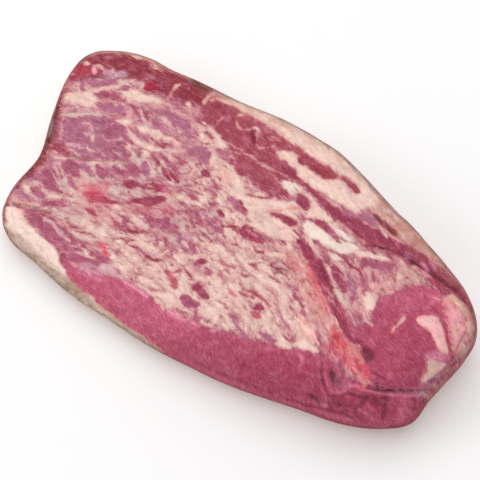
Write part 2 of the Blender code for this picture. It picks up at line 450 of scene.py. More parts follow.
def depth_inside(pixels, shape):
    """How far inside a shape each pixel is, and below 0 how far outside it."""
    kind, points = shape
    outline = rounded(points, closed=kind == "area")
    x, y = pixels.T
    depth = np.full(len(x), -np.inf)
    inside = np.zeros(len(x), bool)
    starts = outline
    ends = np.roll(outline, -1, axis=0)
    if kind == "stroke":
        starts, ends = outline[:-1], outline[1:]
    for start, end in zip(starts, ends):
        run = end[:2] - start[:2]
        square = max(run @ run, TINY)
        along = np.clip(((x - start[0]) * run[0] + (y - start[1]) * run[1]) / square, 0, 1)
        gap = np.hypot(x - start[0] - along * run[0], y - start[1] - along * run[1])
        if kind == "stroke":
            depth = np.maximum(depth, start[2] + (end[2] - start[2]) * along - gap)
        else:
            depth = np.maximum(depth, -gap)
            crosses = (start[1] > y) != (end[1] > y)
            if run[1]:
                inside ^= crosses & (x < start[0] + (y - start[1]) * run[0] / run[1])
    return np.where(inside, -depth, depth)


class Painting:
    """What is painted on the skin: edge is above 0 in fat and below 0 in lean, in pixels."""

    REACH = 14  # pixels from a shape within which it counts
    REGION_SOFT = 5  # pixels to each side over which one region turns into the next
    PATCH_COLOUR, PATCH_MOTTLE = (-2.0, 1.0), (-1.5, 1.5)  # pixels over which a patch takes them on
    PATCH_SLOPE = 1.4  # how fast a patch gains depth from its outline

    def __init__(self, pixels):
        self.pixels = pixels
        self.bent = pixels
        for reach, size, seed in WANDERS:
            self.bent = self.bent + wander(pixels, reach, size, seed)
        self.edge = np.zeros(len(pixels))
        self.mottle = np.full(len(pixels), CAP_MOTTLE)
        self.lean = np.tile(tone("mauve"), (len(pixels), 1))
        self.fat = np.tile(tone("pink_fat"), (len(pixels), 1))
        self.rise = np.zeros(len(pixels))

    def near(self, pixels, shape, reach):
        """The points near a shape, and how deep in it they are."""
        corners = np.array([point[:2] for point in shape[1]])
        low, high = corners.min(axis=0) - reach, corners.max(axis=0) + reach
        chosen = np.nonzero(((pixels > low) & (pixels < high)).all(axis=1))[0]
        return chosen, depth_inside(pixels[chosen], shape)

    def blend(self, values, chosen, share, aim):
        """Takes the values at the chosen points towards an aim, by each point's share."""
        if values.ndim == 2:
            share = share[:, None]
        values[chosen] += (aim - values[chosen]) * share

    def region(self, edge, mottle, lean, fat, shape):
        """Sets a whole region, with a soft border."""
        chosen, depth = self.near(self.bent, shape, self.REACH + self.REGION_SOFT)
        share = ease(-self.REGION_SOFT, self.REGION_SOFT, depth)
        self.blend(self.edge, chosen, share, edge)
        self.blend(self.mottle, chosen, share, mottle)
        self.blend(self.lean, chosen, share, tone(lean))
        self.blend(self.fat, chosen, share, tone(fat))

    def tint(self, colour, strength, shape, soft, tissue="both"):
        """Colours what is there already."""
        chosen, depth = self.near(self.pixels, shape, self.REACH + soft)
        share = strength * ease(-soft, soft, depth)
        for name, values in (("fat", self.fat), ("lean", self.lean)):
            if tissue in (name, "both"):
                self.blend(values, chosen, share, tone(colour))

    def cover(self, share, fat, lean):
        """Colours the fat and the lean everywhere, by the share that each point has."""
        self.fat += share[:, None] * (tone(fat) - self.fat)
        self.lean += share[:, None] * (tone(lean) - self.lean)

    def patch(self, tissue, colour, shape, mottle=1.5, most=4.2):
        """A patch of fat or lean. Its edge is clearer where it has less mottle."""
        chosen, depth = self.near(self.bent, shape, self.REACH)
        share = ease(*self.PATCH_COLOUR, depth)
        self.blend(self.mottle, chosen, ease(*self.PATCH_MOTTLE, depth), mottle)
        depth = np.minimum(depth * self.PATCH_SLOPE, most)
        if tissue == "fat":
            self.edge[chosen] = np.maximum(self.edge[chosen], depth)
            self.blend(self.fat, chosen, share, tone(colour))
        else:
            self.edge[chosen] = np.minimum(self.edge[chosen], -depth)
            self.blend(self.lean, chosen, share, tone(colour))

    def lift(self, rise, shape, soft):
        """Raises the skin, or sinks it, by so many millimetres."""
        chosen, depth = self.near(self.pixels, shape, self.REACH + soft)
        self.rise[chosen] += rise * ease(-soft, soft, depth)


# The regions that the patches lie on: edge, mottle, lean, fat and shape.
REGIONS = (
    # the field of fat in the middle, its leaner parts, and its whitest part
    (1.0, 3.2, "mauve", "cream", area((60, 160), (130, 100), (220, 110), (320, 230), (360, 330),
        (300, 352), (200, 330), (110, 280), (60, 240), (20, 200))),
    (0.7, 3.2, "mauve", "grey_fat", area((120, 155), (165, 150), (200, 190), (236, 236), (220, 246),
        (170, 250), (150, 225), (120, 205), (90, 200), (100, 180))),
    (2.3, 2.9, "mauve", "cream", area((112, 236), (140, 240), (176, 262), (215, 250), (262, 250),
        (290, 300), (310, 344), (250, 330), (214, 318), (176, 300), (130, 278), (108, 262))),
    (3.7, 2.6, "red", "cream", area((188, 112), (200, 128), (214, 150), (232, 178), (262, 198),
        (298, 208), (300, 236), (262, 236), (244, 212), (226, 190), (206, 160), (190, 132))),
    # the lean at the far corner of the flat end, and the lean beside it
    (-5, 2.2, "dark_red", "pink_fat", area((84, 58), (92, 53), (104, 51), (120, 51), (136, 54),
        (150, 60), (180, 75), (208, 88), (212, 94), (204, 104), (190, 104), (176, 97), (160, 97),
        (150, 95), (144, 90), (142, 82), (130, 77), (104, 77), (80, 78), (68, 84), (70, 76), (78, 66))),
    (-5, 1.8, "red", "cream", area((200, 110), (206, 99), (218, 93), (232, 104), (258, 116),
        (278, 130), (300, 146), (327, 168), (316, 172), (300, 166), (298, 182), (300, 197),
        (286, 197), (268, 194), (254, 184), (242, 170), (232, 154), (224, 138), (210, 124))),
    # membranes, and the lean under them
    (0.9, 3.0, "lilac", "pink_fat", area((62, 86), (84, 79), (141, 78), (148, 92), (172, 100),
        (200, 118), (200, 128), (150, 116), (128, 126), (100, 117), (76, 114), (58, 118))),
    (-4.0, 2.6, "lilac", "lilac_fat", area((58, 118), (76, 116), (98, 116), (114, 122), (128, 128),
        (128, 140), (124, 148), (129, 157), (112, 161), (84, 159), (66, 148), (54, 134))),
    (0.4, 3.4, "lilac", "pink_fat", area((128, 104), (160, 106), (196, 120), (200, 140), (212, 152),
        (200, 166), (170, 156), (140, 150), (126, 132))),
    (1.2, 2.4, "lilac", "grey_fat", area((46, 162), (80, 160), (130, 161), (122, 182), (84, 183),
        (50, 200), (20, 200), (22, 182))),
    (1.8, 3.0, "mauve", "grey_fat", area((34, 200), (60, 204), (110, 206), (116, 236), (112, 256),
        (92, 250), (70, 226), (52, 212))),
    # the fat by the far rim, mottled fat in front of the long strip of lean
    (4.2, 2.2, "red", "cream", area((210, 90), (250, 104), (282, 118), (320, 138), (350, 162),
        (378, 188), (378, 206), (364, 204), (345, 178), (322, 163), (298, 148), (262, 122), (240, 110))),
    (2.6, 2.2, "red", "rind", area((378, 190), (400, 212), (430, 246), (458, 276), (474, 306),
        (462, 300), (440, 276), (410, 250), (380, 228), (368, 206))),
    (0.9, 3.0, "mauve", "pink_fat", area((340, 256), (392, 256), (420, 270), (440, 290), (420, 288),
        (392, 294), (376, 310), (370, 326), (354, 318), (340, 290))),
    # the cut lean of the near flank, and the dome and rim of the point end
    (-6, 0.9, "band", "cream", area((58, 254), (66, 266), (78, 271), (93, 277), (106, 279),
        (120, 278), (133, 285), (143, 294), (157, 306), (171, 316), (185, 321), (195, 323),
        (203, 328), (212, 332), (221, 333), (232, 334), (248, 342), (276, 346), (290, 351),
        (312, 353), (326, 357), (340, 372), (346, 384), (430, 396), (440, 410), (400, 440),
        (300, 430), (200, 400), (130, 350), (60, 300))),
    (-5.5, 1.1, "dome", "pink_fat", area((376, 308), (380, 300), (390, 297), (402, 291), (412, 288),
        (424, 287), (438, 290), (442, 300), (443, 314), (448, 334), (451, 352), (446, 364),
        (432, 366), (422, 378), (424, 390), (392, 391), (374, 386), (367, 372), (368, 358),
        (362, 342), (356, 330), (362, 325), (373, 322))),
    (1.7, 2.4, "rose", "rosy_fat", area((441, 300), (446, 295), (454, 292), (462, 298), (471, 312),
        (476, 328), (470, 344), (458, 356), (452, 352), (449, 334), (444, 314))),
)  # fmt: skip

# The patches, part by part: tissue, colour, shape, and where they aren't the usual ones, the mottle
# and the most depth. First the far edge of the flat end.
FAR_EDGE = (
    ("fat", "cream", stroke(1.3, (120, 51), (126, 52), (132, 53))),
    ("fat", "cream", stroke((1.2, 2.2, 1.2), (131, 54), (136, 57), (142, 58))),
    ("fat", "cream", stroke((0.8, 1.6, 1.4, 0.8), (150, 61), (157, 66), (164, 70), (172, 73))),
    ("fat", "pink_fat", stroke((1, 2.4, 1.8), (214, 94), (208, 97), (204, 103))),
    ("fat", "cream", stroke((1, 1.8, 2.4, 2.6, 2), (210, 99), (221, 100), (235, 105),
        (249, 112), (261, 118))),
    ("fat", "cream", area((113, 79), (126, 78), (138, 80), (142, 86), (133, 88), (119, 86)), 2.4, 3.0),
    ("fat", "cream", area((84, 64), (88, 61), (92, 63), (91, 66), (85, 67))),
    # a painted highlight
    ("fat", "hot_pink", area((90, 67), (96, 66), (99, 70), (97, 76), (92, 75))),
    ("fat", "pink_fat", stroke((1, 1.8, 1), (95, 66), (99, 66), (103, 70))),
    ("lean", "pale_lilac", area((102, 71), (112, 70), (125, 71), (130, 76), (116, 77), (103, 76))),
    ("fat", "pale_grey", stroke((0.8, 1.5, 0.8), (114, 70), (116, 73), (118, 76))),
    ("lean", "crimson", area((144, 84), (150, 82), (157, 84), (157, 90), (149, 92), (144, 89))),
    ("fat", "cream", stroke((0.8, 1.9, 0.8), (172, 89), (175, 87), (179, 84))),
    ("fat", "pink_fat", stroke((1.8, 1.2, 0.8), (168, 98), (170, 94), (172, 90))),
    ("fat", "pink_fat", stroke((0.8, 1.2, 1.5), (171, 97), (177, 103), (184, 109))),
    ("fat", "cream", area((184, 102), (190, 101), (194, 106), (190, 109), (184, 106))),
    ("lean", "dark_red", area((190, 93), (198, 92), (206, 92), (206, 98), (199, 103), (192, 101))),
)  # fmt: skip

# The membranes and their windows of lean.
MEMBRANES = (
    ("fat", "cream", area((64, 92), (76, 90), (92, 91), (100, 97), (94, 106), (84, 108),
        (72, 106), (62, 102))),
    ("fat", "cream", area((118, 92), (132, 89), (144, 92), (156, 98), (168, 103),
        (150, 106), (134, 102), (124, 97))),
    ("fat", "cream", stroke((1.2, 2, 2.2, 2.2, 1.6), (68, 94), (88, 92), (104, 89),
        (119, 86), (134, 83))),
    ("lean", "lilac", area((89, 80), (104, 79), (117, 79), (118, 84), (104, 86), (90, 87)), 2.0, 2.4),
    ("fat", "grey_fat", stroke((1.6, 3, 2.4, 1.8, 1.6, 1), (60, 115), (76, 114), (90, 114),
        (104, 115), (116, 121), (128, 126)), 2.0),
    ("lean", "lilac", area((79, 80), (85, 80), (86, 92), (80, 92))),
    ("fat", "cream", stroke((1, 2, 1.6), (141, 80), (143, 84), (141, 89))),
    ("lean", "mauve", stroke(0.8, (129, 80), (132, 84), (134, 88))),
    ("lean", "mauve", stroke(0.8, (135, 81), (137, 84), (138, 88))),
    ("lean", "mauve", area((93, 95), (100, 92), (112, 91), (120, 93), (122, 98), (128, 99),
        (124, 103), (116, 101), (104, 99), (96, 97))),
    ("lean", "lilac", area((95, 103), (106, 104), (115, 104), (122, 108), (129, 112), (126, 117),
        (119, 114), (112, 113), (104, 112), (97, 108))),
    ("lean", "pale_lilac", area((65, 102), (71, 101), (71, 106), (66, 106))),
    ("lean", "lilac", stroke((0.8, 1.5, 0.8), (70, 106), (77, 105), (84, 107))),
    ("fat", "cream", area((114, 118), (122, 119), (130, 118), (135, 122), (128, 126), (119, 124))),
    ("lean", "mauve", stroke((1.6, 2.6, 1.6), (133, 105), (136, 112), (140, 120))),
    ("lean", "mauve", stroke((1.4, 2.4, 1.4), (141, 108), (145, 114), (148, 121))),
    ("fat", "pale_grey", stroke(0.9, (138, 105), (141, 113), (144, 122))),
    ("lean", "lilac", area((149, 110), (164, 108), (178, 114), (190, 121), (192, 131), (180, 129),
        (172, 123), (164, 117), (154, 114))),
    ("lean", "lilac", area((150, 120), (158, 119), (164, 125), (171, 131), (162, 131), (153, 128))),
    ("lean", "lilac", area((172, 131), (184, 132), (193, 133), (194, 137),
        (184, 138), (176, 137)), 2.6, 2.4),
    ("fat", "cream", area((146, 128), (158, 129), (166, 134), (162, 140), (150, 139)), 2.4, 3.0),
    ("fat", "cream", area((199, 134), (208, 136), (215, 142), (211, 148), (202, 143)), 2.4, 3.0),
    ("fat", "grey_fat", area((106, 186), (116, 183), (122, 190), (118, 197), (108, 195)), 2.6, 3.0),
    ("fat", "cream", area((196, 190), (206, 190), (215, 198), (211, 205), (198, 203)), 2.8, 3.0),
    ("fat", "cream", stroke((0.9, 1.7, 1.7, 0.9), (163, 119), (168, 125), (174, 129), (181, 132))),
    ("fat", "cream", area((161, 136), (169, 134), (176, 139), (171, 143), (162, 140))),
    ("fat", "cream", stroke((1, 3, 4, 3.4, 2, 1), (126, 128), (132, 137), (141, 145),
        (152, 149), (166, 150), (180, 153))),
    ("fat", "cream", area((134, 126), (146, 124), (154, 130), (150, 136), (138, 134)), 2.4),
    ("fat", "cream", area((140, 150), (150, 150), (154, 157), (146, 160), (140, 157)), 2.2),
    ("fat", "cream", area((206, 126), (214, 127), (222, 135), (229, 147), (224, 151),
        (214, 145), (207, 134)), 2.2),
    ("fat", "pink_fat", area((172, 134), (184, 142), (182, 150), (172, 146)), 2.6),
    ("lean", "wine", stroke((0.7, 1.5, 0.8), (149, 138), (157, 142), (164, 148))),
    ("lean", "wine", stroke((0.6, 1.1, 0.6), (162, 142), (167, 144), (172, 147))),
    ("lean", "lilac", area((183, 150), (194, 145), (206, 147), (212, 153), (208, 160), (210, 166),
        (204, 165), (196, 159), (188, 154))),
    ("lean", "wine", stroke((0.6, 1.2, 0.6), (200, 142), (204, 144), (208, 144))),
    ("lean", "red", stroke((0.8, 1.5, 0.8), (204, 132), (209, 135), (213, 138))),
    ("lean", "red", stroke((1, 2, 1), (197, 119), (201, 124), (205, 126))),
)  # fmt: skip

# The lilac patch of lean below the membranes.
LILAC_PATCH = (
    ("fat", "cream", area((89, 136), (94, 135), (96, 140), (91, 143))),
    ("fat", "lilac_fat", stroke(0.9, (83, 122), (90, 124), (93, 129), (90, 133))),
    ("fat", "lilac_fat", stroke(0.8, (81, 128), (83, 132), (88, 134))),
    ("fat", "lilac_fat", stroke(0.7, (104, 134), (106, 139), (113, 140), (122, 139))),
    ("fat", "cream", stroke((0.9, 1.6, 1), (71, 149), (77, 153), (83, 158))),
    ("fat", "pale_grey", stroke((0.7, 1.1, 0.7), (80, 147), (88, 148), (96, 153))),
    ("fat", "lilac_fat", stroke((0.7, 1.1, 0.7), (97, 150), (102, 154), (106, 158))),
    ("fat", "lilac_fat", stroke((0.7, 1.1, 0.7), (112, 150), (116, 153), (121, 157))),
    ("fat", "lilac_fat", stroke((0.6, 1, 0.6), (66, 143), (74, 145), (84, 145))),
    ("lean", "red", area((52, 145), (60, 141), (68, 148), (72, 156), (64, 156), (54, 151))),
    ("fat", "cream", stroke((1.6, 2.4, 1.6), (54, 158), (64, 159), (74, 158))),
    ("fat", "cream", stroke((1.4, 1.2, 1.4), (80, 162), (98, 162), (116, 163))),
    ("lean", "crimson", stroke((0.5, 1.1, 0.5), (96, 161), (101, 162), (105, 165))),
)  # fmt: skip

# The leaves of lean across the flat end, and the lean at its left flank.
LEAVES = (
    ("lean", "lilac", area((50, 157), (53, 157), (58, 165), (61, 173), (64, 182), (58, 180), (53, 171))),
    ("fat", "grey_fat", stroke((0.6, 1.1, 0.6), (54, 163), (57, 171), (61, 181))),
    ("lean", "mauve", area((43, 170), (50, 170), (55, 178), (60, 188), (66, 197), (57, 192),
        (48, 190), (43, 184), (40, 177))),
    ("lean", "mauve", area((60, 163), (65, 163), (68, 160), (76, 160), (79, 165), (81, 173),
        (80, 179), (76, 178), (71, 175), (66, 174), (62, 170))),
    ("lean", "lilac", area((67, 175), (71, 175), (75, 183), (77, 191), (73, 190), (69, 184))),
    ("lean", "lilac", area((80, 164), (87, 164), (93, 170), (93, 176), (87, 173), (83, 169))),
    ("fat", "cream", stroke((0.6, 1.4, 0.6), (82, 167), (86, 173), (88, 180))),
    ("lean", "mauve", area((93, 165), (98, 163), (103, 169), (110, 173), (104, 180),
        (100, 178), (96, 172))),
    ("lean", "mauve", area((111, 165), (117, 165), (122, 169), (128, 171), (130, 178),
        (124, 178), (118, 174))),
    ("lean", "mauve", area((124, 164), (132, 162), (138, 167), (139, 175), (132, 178), (127, 171))),
    ("lean", "lilac", area((139, 163), (146, 160), (150, 166), (151, 175),
        (146, 178), (141, 172)), 2.2, 3.0),
    ("fat", "cream", stroke((0.8, 1.5, 0.8), (150, 163), (153, 171), (156, 179))),
    ("lean", "wine", area((150, 153), (156, 156), (162, 165), (160, 169), (155, 163))),
    ("lean", "mauve", area((159, 155), (166, 157), (172, 164), (181, 167), (178, 170),
        (170, 169), (164, 163)), 2.4, 2.6),
    ("lean", "wine", area((160, 167), (166, 168), (172, 172), (178, 177), (181, 183),
        (172, 184), (164, 177))),
    ("fat", "lilac_fat", stroke(0.7, (166, 169), (170, 176), (175, 182))),
    ("lean", "wine", area((123, 181), (128, 180), (135, 181), (140, 186), (135, 190), (128, 190)), 2.0),
    ("lean", "wine", area((140, 184), (152, 182), (160, 185), (166, 188), (160, 192),
        (150, 190), (142, 191))),
    ("fat", "pink_fat", stroke(0.7, (147, 185), (152, 187), (156, 190))),
    ("lean", "wine", area((130, 199), (140, 197), (152, 197), (162, 194), (169, 199), (164, 203),
        (150, 207), (140, 205), (134, 203))),
    ("lean", "wine", area((81, 192), (88, 190), (96, 193), (105, 197), (118, 203), (114, 206),
        (102, 203), (92, 199), (84, 197))),
    ("lean", "mauve", area((84, 206), (90, 207), (96, 213), (100, 218), (93, 217), (87, 212))),
    ("lean", "lilac", area((24, 174), (34, 172), (42, 176), (45, 182), (36, 181), (28, 181))),
    ("fat", "cream", area((22, 184), (28, 183), (33, 189), (33, 195), (27, 194), (23, 189))),
    ("fat", "cream", stroke((1.2, 1.9, 1.2), (36, 181), (41, 184), (44, 189))),
    ("lean", "mauve", area((30, 187), (36, 187), (42, 191), (47, 198), (40, 199), (34, 195))),
    ("lean", "lilac", area((15, 191), (20, 190), (27, 195), (37, 199), (26, 200), (18, 198))),
    ("fat", "cream", area((47, 194), (54, 193), (63, 196), (64, 200), (56, 201), (48, 200))),
    ("lean", "mauve", area((39, 203), (46, 201), (58, 203), (72, 206), (60, 208), (48, 207))),
    ("lean", "flank_red", stroke((1.2, 2.4, 3, 4, 5, 4, 1.6), (63, 88), (60, 99), (56, 112),
        (51, 133), (44, 152), (33, 167), (20, 183)), 2.2, 3.0),
    ("fat", "pink_fat", stroke((1, 2, 2, 1), (63, 118), (62, 125), (62, 132), (60, 140)), 2.6, 2.2),
)  # fmt: skip

# The near corner of the flat end: its fat, and the leaner strip along it.
NEAR_CORNER = (
    ("fat", "tan", stroke((3, 6, 8, 10, 8.5, 7.5, 6.5, 5.5, 4), (4, 222), (16, 240), (36, 258),
        (58, 282), (80, 300), (98, 313), (116, 325), (136, 338), (160, 353))),
    ("fat", "white", area((6, 206), (14, 205), (21, 208), (24, 216), (29, 224), (36, 230), (44, 237),
        (52, 245), (57, 252), (58, 260), (65, 268), (71, 279), (64, 279), (53, 268), (45, 262),
        (37, 252), (28, 243), (20, 236), (12, 230), (6, 225), (5, 214))),
    ("fat", "cream", area((80, 293), (87, 292), (96, 299), (98, 306), (90, 305), (82, 300))),
    ("fat", "olive", stroke((1.2, 2.4, 2.8, 2.8, 3, 3.6, 3, 2), (4, 232), (20, 249), (44, 272),
        (66, 293), (84, 307), (106, 318), (128, 334), (160, 352))),
    ("fat", "cream", area((80, 214), (92, 220), (104, 228), (108, 240), (98, 240),
        (86, 230), (78, 222)), 2.8),
    ("fat", "cream", area((103, 260), (113, 263), (122, 276), (112, 278), (105, 270)), 2.4),
    ("lean", "mauve", area((18, 206), (30, 208), (42, 209), (52, 212), (50, 217), (58, 221),
        (66, 226), (70, 232), (76, 239), (84, 245), (92, 250), (100, 252), (108, 257), (112, 263),
        (98, 262), (84, 254), (72, 250), (62, 249), (56, 247), (48, 240), (42, 233), (36, 227),
        (30, 222), (27, 214)), 2.8, 2.6),
    ("fat", "lilac_fat", stroke((1, 2.2, 2.2, 1.4), (40, 216), (50, 222),
        (60, 232), (70, 241)), 3.0, 2.2),
    ("lean", "mauve", area((57, 253), (66, 250), (78, 254), (92, 258), (107, 264), (106, 270),
        (96, 267), (86, 263), (76, 263), (66, 268), (60, 262)), 2.2, 3.4),
    ("lean", "pale_lilac", area((74, 268), (82, 262), (92, 264), (102, 270), (107, 275),
        (98, 276), (86, 272))),
    ("fat", "lilac_fat", stroke((0.6, 1.2, 0.6), (80, 267), (90, 269), (99, 274))),
    ("fat", "lilac_fat", area((98, 264), (110, 264), (124, 275), (129, 282),
        (114, 279), (101, 274)), 2.4, 3.0),
    ("fat", "lilac_fat", stroke((0.5, 1.3, 0.8), (48, 214), (56, 221), (67, 228))),
    ("fat", "lilac_fat", stroke((0.5, 0.9, 0.5), (44, 222), (58, 229), (70, 237))),
    ("fat", "lilac_fat", stroke((0.5, 1, 0.6), (55, 241), (66, 246), (76, 247))),
    ("fat", "pale_grey", stroke((0.8, 1.5, 0.8), (80, 246), (84, 250), (87, 255))),
    ("lean", "wine", stroke((0.8, 1.6, 1), (66, 220), (71, 225), (78, 228))),
    ("lean", "dark_red", stroke((0.6, 1.2, 0.8), (76, 232), (84, 233), (90, 235))),
    ("lean", "wine", stroke((0.8, 1.6, 0.8), (86, 209), (92, 212), (97, 217))),
)  # fmt: skip

